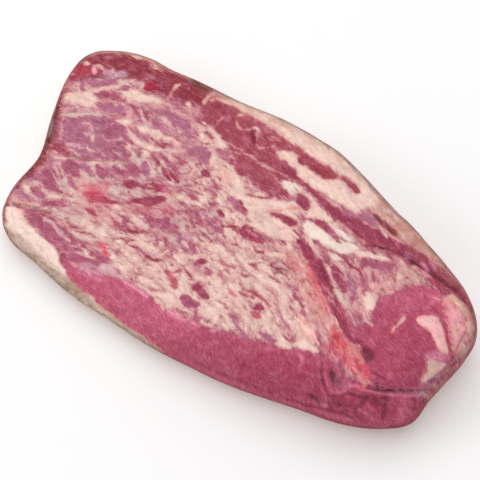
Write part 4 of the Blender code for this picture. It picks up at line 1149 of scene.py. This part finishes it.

# The lines of film with painted glints along them, painted reflections of the film at the point end, and
# dark crumbs.
FILM_LINES = (
    ("olive", 0.9, stroke((0.6, 0.9, 1, 0.8), (7, 202), (20, 205), (36, 208), (50, 212)), 1.3),
    ("cream", 0.5, stroke(0.8, (9, 200), (22, 202), (38, 205)), 1.2),
    ("olive", 0.75, stroke(0.8, (70, 156), (84, 160), (104, 161), (128, 161)), 1.2),
    ("brown", 0.9, stroke((0.6, 1.1, 0.7), (137, 156), (140, 153), (143, 153)), 0.9),
    # painted glints of the film along its lines
    ("film_grey", 0.6, stroke(0.7, (65, 85), (78, 80), (92, 78), (110, 78), (126, 77)), 1.1),
    ("film_grey", 0.4, stroke(0.6, (62, 114), (78, 112), (96, 113), (108, 116)), 1.1),
    ("deep_red", 0.85, stroke(0.7, (65, 86), (73, 84), (80, 80), (90, 77), (104, 78)), 0.9),
    # painted reflections: glints of the film at the point end, one of them blue
    ("film_grey", 0.85, stroke((0.8, 1.5, 1), (434, 377), (440, 375), (446, 371)), 1.2),
    ("film_grey", 0.7, stroke((1, 1.8, 1), (428, 383), (431, 387), (435, 386)), 1.4),
    ("steel", 0.95, stroke(1.3, (431, 381), (435, 379)), 1.2),
    ("film_grey", 0.85, stroke((0.8, 1.6, 1.1), (417, 394), (426, 394), (434, 390)), 1.2),
)  # fmt: skip

# What lies along the outline.
FAR_RIM = ((218, 91), (286, 121), (336, 149), (368, 179), (404, 216), (430, 245), (458, 278))
OUTLINE = (
    ("rind", 0.75, stroke(6.5, *FAR_RIM), 5.5),
    ("rust", 0.5, stroke(3.6, *FAR_RIM), 3.5),
    ("tan", 0.75, stroke(2.6, (218, 91), (256, 108), (286, 121), (318, 138), (336, 149), (352, 164),
        (368, 179), (384, 196), (404, 216), (430, 245), (458, 278), (472, 302)), 2.4),
    ("brown", 0.9, stroke(1.3, (186, 77), (218, 89), (256, 106), (286, 119), (320, 137), (336, 148),
        (352, 163), (368, 178), (384, 195), (404, 216), (430, 245), (448, 263),
        (462, 282), (474, 305)), 1.6),
    ("tan", 0.8, stroke(1.4, (82, 60), (90, 54), (104, 51), (134, 53), (150, 60),
        (172, 70), (190, 78)), 1.4),
    ("umber", 0.8, stroke(1.2, (76, 66), (86, 56), (98, 50), (110, 49), (136, 51),
        (160, 61), (190, 76)), 1.4),
    ("brown", 0.7, area((188, 77), (200, 82), (216, 89), (214, 93), (204, 91), (192, 85)), 2.5),
    ("brown", 0.6, stroke((1.5, 2.6, 2.2, 1), (206, 87), (218, 92), (230, 97), (244, 103)), 2),
    ("flank_red", 0.5, stroke((4, 8, 10, 8), (382, 208), (396, 222), (420, 244), (446, 274)), 6),
    ("flank_red", 0.6, stroke((3, 6, 5, 4, 4), (446, 268), (462, 286), (474, 306),
        (478, 326), (470, 346)), 4),
    ("crimson", 0.5, stroke((2, 4, 5, 4), (430, 388), (446, 372), (460, 356), (472, 338)), 4),
    ("salmon", 0.5, area((414, 317), (424, 315), (432, 318), (432, 328), (422, 328)), 2, "fat"),
    ("hot_pink", 0.5, area((416, 320), (424, 316), (436, 316), (443, 326), (449, 350), (442, 350),
        (434, 336), (424, 328)), 3, "fat"),
    ("flank_red", 0.7, stroke((1.5, 2.6, 2.6, 1.5), (14, 188), (6, 200), (3, 212), (4, 224)), 2),
    ("olive", 0.8, stroke((2.4, 5, 7, 7.4, 5), (4, 228), (18, 246), (43, 267), (66, 287), (89, 306)), 4),
    ("crimson", 0.6, stroke((2, 3, 2), (84, 64), (74, 74), (68, 84)), 3),
    ("flank_red", 0.9, stroke((1.5, 3, 3.8, 5, 6.4, 5.6, 2), (66, 84), (62, 97), (58, 112), (52, 134),
        (45, 154), (34, 168), (20, 184)), 2.4),
    ("umber", 0.9, stroke((0.8, 2.2, 2.8, 2.4, 3.2, 2, 1.6, 1), (58, 104), (55, 116), (51, 127),
        (48, 138), (45, 147), (39, 157), (30, 170), (14, 190)), 1.4),
    # a painted glint of the film
    ("film_grey", 0.8, stroke((0.5, 1.1, 0.5), (53, 122), (51, 129), (49, 136)), 1),
    ("brown", 0.9, stroke(1.4, (20, 178), (7, 194), (2, 210), (3, 228)), 1.8),
    ("brown", 0.8, stroke(1.2, (3, 230), (16, 246), (40, 269), (64, 292), (92, 312), (124, 334),
        (160, 356), (200, 374)), 1.6),
    ("flank_red", 0.9, stroke((2, 3.6, 3.6, 3, 1.6), (421, 404), (434, 390), (447, 378),
        (460, 364), (470, 350)), 1.8),
    ("deep_red", 0.95, stroke((1.4, 2, 2, 1.8, 1.4), (424, 408), (438, 392), (450, 379),
        (463, 365), (473, 350)), 1.6),
    # a painted glint of the film along the edge
    ("film_grey", 0.6, stroke((0.5, 1.1, 1, 0.6), (449, 365), (456, 358), (464, 354), (472, 346)), 1.1),
    ("umber", 0.8, stroke((1.4, 2.2, 2.2, 1.4), (471, 304), (476, 318), (477, 331), (474, 343)), 1.6),
)  # fmt: skip

TINTS = (
    *SOFT_COLOURS, *SEAM_BLOOD_AND_SHADE, *FOLD_SHADE_AND_HIGHLIGHTS, *POINT_RIM, *CUT_EDGE_HIGHLIGHTS, *LONG_STRIP, *FILM_LINES, *OUTLINE,
)  # fmt: skip

# The seams and creases that are sunk, and the folds that are raised.
LIFTS = (
    # millimetres, shape, soft
    (-1.0, stroke((1, 2, 2), (364, 350), (367, 353), (370, 356)), 4),
    (-1.2, stroke((1, 3, 2), (329, 370), (332, 378), (336, 386)), 5),
    (1.0, stroke(2, (326, 358), (328, 374), (334, 390)), 3),
    (1.4, stroke((1.5, 2, 2, 1), (338, 386), (352, 386), (364, 391), (428, 396)), 2.5),
    (-1.6, stroke((1, 1.4, 1), (368, 387), (392, 390), (422, 391)), 2.2),
    (-1.0, stroke((1, 2, 1), (368, 400), (356, 408), (360, 419)), 3),
    (-1.0, stroke((1, 2, 1), (386, 397), (384, 406), (383, 417)), 3),
    (-0.8, stroke(1, (200, 362), (250, 384), (300, 404)), 3),
    (-0.8, stroke(1, (7, 203), (30, 207), (50, 212)), 2.5),
    (-0.7, stroke(1, (70, 157), (100, 161), (130, 161)), 2.5),
    (-1.4, stroke((1, 1.5, 2, 2, 1), (372, 214), (400, 238), (420, 266), (440, 281), (464, 300)), 3),
    (-0.9, stroke((2, 3, 3, 2), (268, 212), (296, 262), (320, 304), (332, 340)), 5),
)


def paint(pixels):
    """The painting with all that the photograph shows on it."""
    painting = Painting(pixels)
    for edge, mottle, lean, fat, shape in REGIONS:
        painting.region(edge, mottle, lean, fat, shape)
    for tissue, colour, shape, *loose in PATCHES:
        painting.patch(tissue, colour, shape, *loose)
    for colour, strength, shape, soft, *tissue in TINTS:
        painting.tint(colour, strength, shape, soft, *tissue)
    for rise, shape, soft in LIFTS:
        painting.lift(rise, shape, soft)
    return painting


# ---------------------------------------------------------------- materials


class Value:
    """A number that a shader works out. It adds, subtracts and multiplies."""

    def __init__(self, finish, socket):
        self.finish, self.socket = finish, socket

    def maths(self, operation, *values):
        made = self.finish.node("Math", {"operation": operation}, *values)
        return Value(self.finish, made.outputs[0])

    def __add__(self, other):
        return self.maths("ADD", self, other)

    def __mul__(self, other):
        return self.maths("MULTIPLY", self, other)

    def __sub__(self, other):
        return self.maths("SUBTRACT", self, other)

    def __rsub__(self, other):
        return self.maths("SUBTRACT", other, self)

    __radd__, __rmul__ = __add__, __mul__

    def size(self):
        return self.maths("ABSOLUTE", self)

    def eased(self, start, end, low=0.0, high=1.0):
        """low before start and high after end, with a smooth step between."""
        made = self.finish.node(
            "MapRange", {"interpolation_type": "SMOOTHSTEP"}, self, start, end, low, high
        )
        return Value(self.finish, made.outputs[0])


class Finish:
    """A material and the nodes of its shader."""

    NOISE_SPREAD = 4.4  # brings noise, which keeps close to 0.5, to about -1 to 1
    LOBULE_SPREAD = 2.4
    LOBULE_BEND = (0.4, 0.3, 0.0)  # in lobules, along and across the grain

    def __init__(self, name):
        self.material = bpy.data.materials.new(name)
        self.material.use_nodes = True
        self.tree = self.material.node_tree
        self.shader = self.tree.nodes["Principled BSDF"]

    def node(self, kind, settings, *values, **named):
        """A node with its settings made first, and then its sockets filled in order or by name."""
        made = self.tree.nodes.new("ShaderNode" + kind)
        for setting, value in settings.items():
            setattr(made, setting, value)
        for place, value in [*enumerate(values), *named.items()]:
            socket = made.inputs[place.replace("_", " ") if isinstance(place, str) else place]
            self.fill(socket, value)
        return made

    def fill(self, socket, value):
        if isinstance(value, Value):
            value = value.socket
        if isinstance(value, bpy.types.NodeSocket):
            self.tree.links.new(value, socket)
        else:
            socket.default_value = value

    def set(self, **inputs):
        for name, value in inputs.items():
            self.fill(self.shader.inputs[name.replace("_", " ")], value)

    def attribute(self, name):
        return self.node("Attribute", {"attribute_name": name})

    def amount(self, name):
        return Value(self, self.attribute(name).outputs["Fac"])

    def vector(self, operation, *values, **named):
        """A place or a colour that is worked out from others."""
        return self.node("VectorMath", {"operation": operation}, *values, **named).outputs[0]

    def noise(self, place, size, detail=2.0, roughness=0.55, twist=0.0, shift=0.0):
        """Noise of about -1 to 1, with features of a size along each coordinate."""
        place = self.vector("MULTIPLY", place, tuple(1 / part for part in size))
        place = self.vector("ADD", place, (shift,) * 3)
        made = self.node(
            "TexNoise", {}, Vector=place, Scale=1.0, Detail=detail, Roughness=roughness,
            Distortion=twist,
        )  # fmt: skip
        return (Value(self, made.outputs[0]) - 0.5) * self.NOISE_SPREAD

    def lobules(self, place, size, bent_by):
        """Rounded cells of a size: about 1 in their middles and -1 between them."""
        place = self.vector("MULTIPLY", place, tuple(1 / part for part in size))
        place = self.vector("ADD", place, self.vector("SCALE", self.LOBULE_BEND, Scale=bent_by))
        made = self.node(
            "TexVoronoi", {"voronoi_dimensions": "2D", "feature": "SMOOTH_F1"},
            Vector=place, Scale=1.0, Smoothness=0.35,
        )  # fmt: skip
        return 1.0 - Value(self, made.outputs["Distance"]) * self.LOBULE_SPREAD

    def mixed(self, share, first, second):
        """Two colours mixed by a share."""
        made = self.node("Mix", {"data_type": "RGBA"}, Factor=share)
        colours = [socket for socket in made.inputs if socket.type == "RGBA"]
        for socket, value in zip(colours, (first, second)):
            self.fill(socket, (*value, 1.0) if isinstance(value, tuple) else value)
        return next(socket for socket in made.outputs if socket.type == "RGBA")

    def shaded(self, colour, brightness):
        """A colour made lighter or darker by a number around 1."""
        return self.vector("SCALE", colour, Scale=brightness)

    def bleached(self, colour, amount):
        """A colour with the same small amount added to its red, its green and its blue."""
        pale = self.vector("SCALE", (1.0, 1.0, 1.0), Scale=amount)
        return self.vector("MAXIMUM", self.vector("ADD", colour, pale), (0.0, 0.0, 0.0))


def colour(name):
    """A colour as a material's socket takes it."""
    return tuple(tone(name).tolist())


def raw_meat():
    """Moist raw meat: lean and fat by the painted edge, with marbling, fibres and a wet sheen."""
    finish = Finish("raw_meat")
    grain = finish.attribute("grain").outputs["Vector"]
    place = finish.node("TexCoord", {}).outputs["Object"]
    mottle = finish.amount("mottle")

    # The patterns. Their sizes are pixels along and across the grain, or metres.
    clumps = finish.noise(grain, (19, 10, 1), twist=0.5)
    crumbs = finish.noise(grain, (8, 4.4, 1), roughness=0.5, twist=0.5, shift=7)
    threads = finish.noise(grain, (6, 1.4, 1), roughness=0.6, twist=0.3, shift=19)
    veils = finish.noise(place, (11 * MM,) * 3, detail=3, roughness=0.6)
    flushes = finish.noise(place, (6 * MM,) * 3, detail=3, roughness=0.65, shift=3)
    grit = finish.noise(place, (1.5 * MM,) * 3, roughness=0.75)
    lobules = finish.lobules(grain, (14, 8, 1), crumbs)

    # Where the fat is: the painted edge, broken up by marbling, by lobules, and by the thin veins
    # between clumps.
    veins = finish.noise(grain, (15, 6.5, 1), roughness=0.5, twist=0.7, shift=43)
    vein = veins.size().eased(0.0, 0.18, 1.0, 0.0) * clumps.eased(-0.6, 0.4)
    broken = clumps * 0.74 + lobules * 0.5 + crumbs * 0.42 + threads * 0.2 - vein * 0.65
    edge = finish.amount("edge") + 0.04 + mottle * broken + grit * 0.3
    crispness = mottle.eased(1.2, 3.2, 1.4, 0.95)
    fatness = (edge * crispness).eased(-2.2, 2.8)
    # painted shade: the rim where the lean meets the raised fat
    rim = edge.eased(-3.4, -1.0) * edge.eased(-0.6, 1.6, 1.0, 0.0) * flushes.eased(-0.2, 0.8)

    # The colours of the lean and of the fat, and both with the darker rim between them, which is painted
    # shade at the foot of the raised fat.
    lean = finish.attribute("lean").outputs["Vector"]
    lean = finish.mixed(veils.eased(0.0, 1.0) * 0.35, lean, colour("lilac"))
    lean = finish.mixed(flushes.eased(0.0, 0.9) * 0.24, lean, colour("deep_red"))
    depth = edge.eased(-7.0, -0.5, 0.88, 1.08)
    fibres = grit * 0.18 + threads * 0.3 + crumbs * 0.16 + veils * 0.16
    lean = finish.shaded(lean, depth * (1.0 + fibres * 0.62))
    lean = finish.bleached(lean, fibres.eased(-0.1, 0.4) * 0.04)
    fat = finish.attribute("fat").outputs["Vector"]
    fat = finish.mixed(flushes.eased(-0.2, 0.9) * 0.5, fat, colour("pink_fat"))
    fat = finish.mixed(veils.eased(-0.1, 0.9) * 0.5, fat, colour("grey_fat"))
    fat = finish.mixed(edge.eased(0.4, 3.2, 1.0, 0.0) * 0.55, fat, colour("pink_fat"))
    thick = edge.eased(2.2, 5.4)
    fat = finish.mixed(thick * 0.4, fat, colour("white"))
    fat = finish.shaded(fat, 1.0 + thick * 0.06 + grit * 0.08 + crumbs * 0.06 + threads * 0.05)
    base = finish.mixed(fatness, lean, fat)
    base = finish.mixed(rim * 0.45, base, colour("fresh_cut"))

    # Thin veins of blood in the fat.
    blood = finish.noise(grain, (13, 8, 1), roughness=0.6, twist=1.1, shift=57)
    blood = blood.size().eased(0.0, 0.09, 1.0, 0.0) * flushes.eased(0.2, 0.9)
    base = finish.mixed(blood * mottle.eased(1.4, 2.8) * 0.45, base, colour("fresh_cut"))

    # Fine pearly webs over the looser lean.
    webs = finish.noise(grain, (18, 5, 1), detail=3, roughness=0.5, twist=0.5, shift=31)
    web = webs.size().eased(0.0, 0.13, 1.0, 0.0) * crumbs.eased(-0.3, 0.5)
    web = web * mottle.eased(1.0, 2.6) * 0.5
    base = finish.mixed(web, base, colour("pearl"))

    height = fatness * 0.5 + threads * 0.15 + crumbs * 0.3 + grit * 0.12 + web * 0.4
    bump = finish.node("Bump", {}, Strength=0.42, Distance=0.6 * MM, Height=height)
    finish.set(
        Base_Color=base,
        Roughness=0.5 + grit * 0.06 - threads * 0.05,
        Normal=bump.outputs[0],
        Coat_Weight=0.02,
        Coat_Roughness=0.2,
        Specular_IOR_Level=0.03,
    )
    return finish.material


def clear_film():
    """Thin clear film: all but unseen, and whiter where it is creased, a painted reflection for the
    glints of its creases.
    """
    finish = Finish("clear_film")
    place = finish.node("TexCoord", {}).outputs["Object"]
    size = (9 * MM, 4 * MM, 4 * MM)
    wrinkles = finish.noise(place, size, detail=3, roughness=0.6, twist=0.4)
    crease = finish.amount("crease")
    # where creased, the pale film turns more opaque: painted reflection
    alpha = 0.01 + crease * (0.05 + wrinkles.eased(0.1, 1.0) * 0.45)
    bump = finish.node("Bump", {}, Strength=0.5, Distance=0.8 * MM, Height=wrinkles)
    finish.set(
        Base_Color=(0.86, 0.88, 0.90, 1.0),
        Roughness=0.12,
        Alpha=alpha,
        Normal=bump.outputs[0],
        Specular_IOR_Level=0.6,
    )
    return finish.material


def pale_floor():
    finish = Finish("pale_floor")
    finish.set(Base_Color=(0.95, 0.95, 0.95, 1.0), Roughness=0.9)
    return finish.material


# ---------------------------------------------------------------- pieces


def round_edge(skin):
    """How far round the brisket each point is, in metres."""
    return np.arctan2(skin.points[:, 1], skin.points[:, 0]) * EDGE_RADIUS


def wrap_fat_cap(painting, skin, facing):
    """Paints the fat cap, with its flecks of lean, where the photograph doesn't show the meat."""
    x, y, z = skin.points.T
    lumps = layered_noise(x / CAP_LUMP[0], y / CAP_LUMP[1], seed=11)
    flank = layered_noise(round_edge(skin) / EDGE_LUMP[0], z / EDGE_LUMP[1], seed=17)
    lumps += EDGE_LUMP_SHARE * flank
    cap = CAP_DEPTH - FLECK_DEPTH * ease(*FLECK_HEIGHT, z / z.max()) * ease(*FLECK_LUMPS, lumps)
    hidden = 1 - ease(*SEEN_FACING, facing)
    painting.edge += hidden * (cap - painting.edge)
    painting.mottle += hidden * (CAP_MOTTLE - painting.mottle)
    painting.cover(hidden, fat="cream", lean="wine")


def shade_outline(painting, facing):
    """Darkens the meat in a line round the outline, where the skin turns away from the camera: painted
    shade.
    """
    outline_shade = OUTLINE_SHADE_SHARE * ease(*OUTLINE_SHADE_ENDS, facing) * ease(*OUTLINE_SHADE_SETS_IN, facing)
    painting.cover(outline_shade, fat="umber", lean="fresh_cut")


def meat_grain(skin, pixels, facing):
    """Each point's place in the grain, which runs round the flank where it can't be seen."""
    x, y, z = skin.points.T
    around = np.stack([round_edge(skin), z], axis=1) * GRAIN_PER_METRE
    under = np.stack([x, y], axis=1) * GRAIN_PER_METRE
    share = ease(*UNDERSIDE_TURN, abs(skin.normals[:, 2]))[:, None]
    unseen = around * (1 - share) + under * share
    return np.where(facing[:, None] > GRAIN_FACING, grain_coordinates(pixels), unseen)


def meat_relief(painting, skin, grain):
    """How far each point stands out, in millimetres: the fat, the folds and the fibres."""
    relief = FAT_RISE * ease(*FAT_BORDER, painting.edge) + painting.rise
    relief += FIBRE_RISE * layered_noise(*(grain / FIBRE).T, seed=5)
    return relief * ease(0.0, FOOT, skin.points[:, 2])


def make_meat(tree):
    skin = Skin(MEAT_CELLS, tree)
    pixels, facing = photo_pixels(skin.points), skin.facing()
    painting = paint(pixels)
    wrap_fat_cap(painting, skin, facing)
    shade_outline(painting, facing)
    grain = meat_grain(skin, pixels, facing)
    skin.raise_by(meat_relief(painting, skin, grain))
    attributes = {
        "edge": painting.edge,
        "mottle": painting.mottle,
        "lean": painting.lean,
        "fat": painting.fat,
        "grain": np.concatenate([grain, np.zeros((skin.count, 1))], axis=1),
    }
    meat = skin.piece("meat", attributes, raw_meat())
    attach(meat, "root")
    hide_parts("brisket")


# Where the film is creased and shows whiter: painted reflection for the glints of its creases.
CREASES = (
    # strength, shape, soft
    (0.12, area((418, 388), (428, 376), (446, 372), (462, 352), (474, 346), (466, 362), (448, 384),
        (432, 398), (418, 398)), 5),
    (0.3, stroke((0.5, 1, 0.5), (53, 120), (51, 128), (49, 136)), 1.5),
    (0.5, stroke(1, (12, 203), (35, 207), (52, 213)), 2),
    (0.4, stroke(1.5, (340, 385), (360, 388), (400, 394), (430, 396)), 2),
)  # fmt: skip


def make_film(tree):
    skin = Skin(FILM_CELLS, tree)
    pixels = photo_pixels(skin.points)
    crease = np.zeros(skin.count)
    for strength, shape, soft in CREASES:
        crease = np.maximum(crease, strength * ease(-soft, soft, depth_inside(pixels, shape)))
    crease *= skin.facing() > 0
    skin.raise_by(FILM_RISE)
    film = skin.piece("shrink_film", {"crease": crease}, clear_film())
    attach(film, "root")
    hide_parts("brisket")


# ---------------------------------------------------------------- studio


def add_floor():
    mesh = bpy.data.meshes.new("floor")
    sides = ((-1, -1), (1, -1), (1, 1), (-1, 1))
    corners = [(x * FLOOR_REACH, y * FLOOR_REACH, 0) for x, y in sides]
    mesh.from_pydata(corners, [], [(0, 1, 2, 3)])
    mesh.materials.append(pale_floor())
    floor = bpy.data.objects.new("floor", mesh)
    floor.location.z = -FLOOR_DROP
    bpy.context.scene.collection.objects.link(floor)


def add_light(name, place, size, watts):
    data = bpy.data.lights.new(name, "AREA")
    data.shape, data.size, data.energy = "DISK", size, watts
    light = bpy.data.objects.new(name, data)
    light.location = place
    light.rotation_euler = Vector(place).to_track_quat("Z", "Y").to_euler()
    bpy.context.scene.collection.objects.link(light)


def add_studio():
    add_floor()
    add_light("overhead_softbox", place=(-0.3, 0.3, 2.2), size=2.4, watts=26)
    add_light("side_softbox", place=(-1.6, -1.4, 1.6), size=1.6, watts=11)
    world = bpy.data.worlds.new("studio")
    world.use_nodes = True
    sky = world.node_tree.nodes["Background"]
    sky.inputs["Color"].default_value = (1, 1, 1, 1)
    sky.inputs["Strength"].default_value = SKY_STRENGTH
    bpy.context.scene.world = world
    bpy.context.scene.view_settings.view_transform = "Standard"


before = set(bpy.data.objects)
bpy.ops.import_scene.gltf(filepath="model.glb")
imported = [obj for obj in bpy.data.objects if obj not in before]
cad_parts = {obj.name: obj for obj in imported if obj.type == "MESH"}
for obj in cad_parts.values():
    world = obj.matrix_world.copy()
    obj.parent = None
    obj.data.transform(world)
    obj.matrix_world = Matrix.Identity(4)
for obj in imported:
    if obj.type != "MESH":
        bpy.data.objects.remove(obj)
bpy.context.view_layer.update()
add_camera()
add_studio()
cad_tree = cad_surface()
make_meat(cad_tree)
make_film(cad_tree)
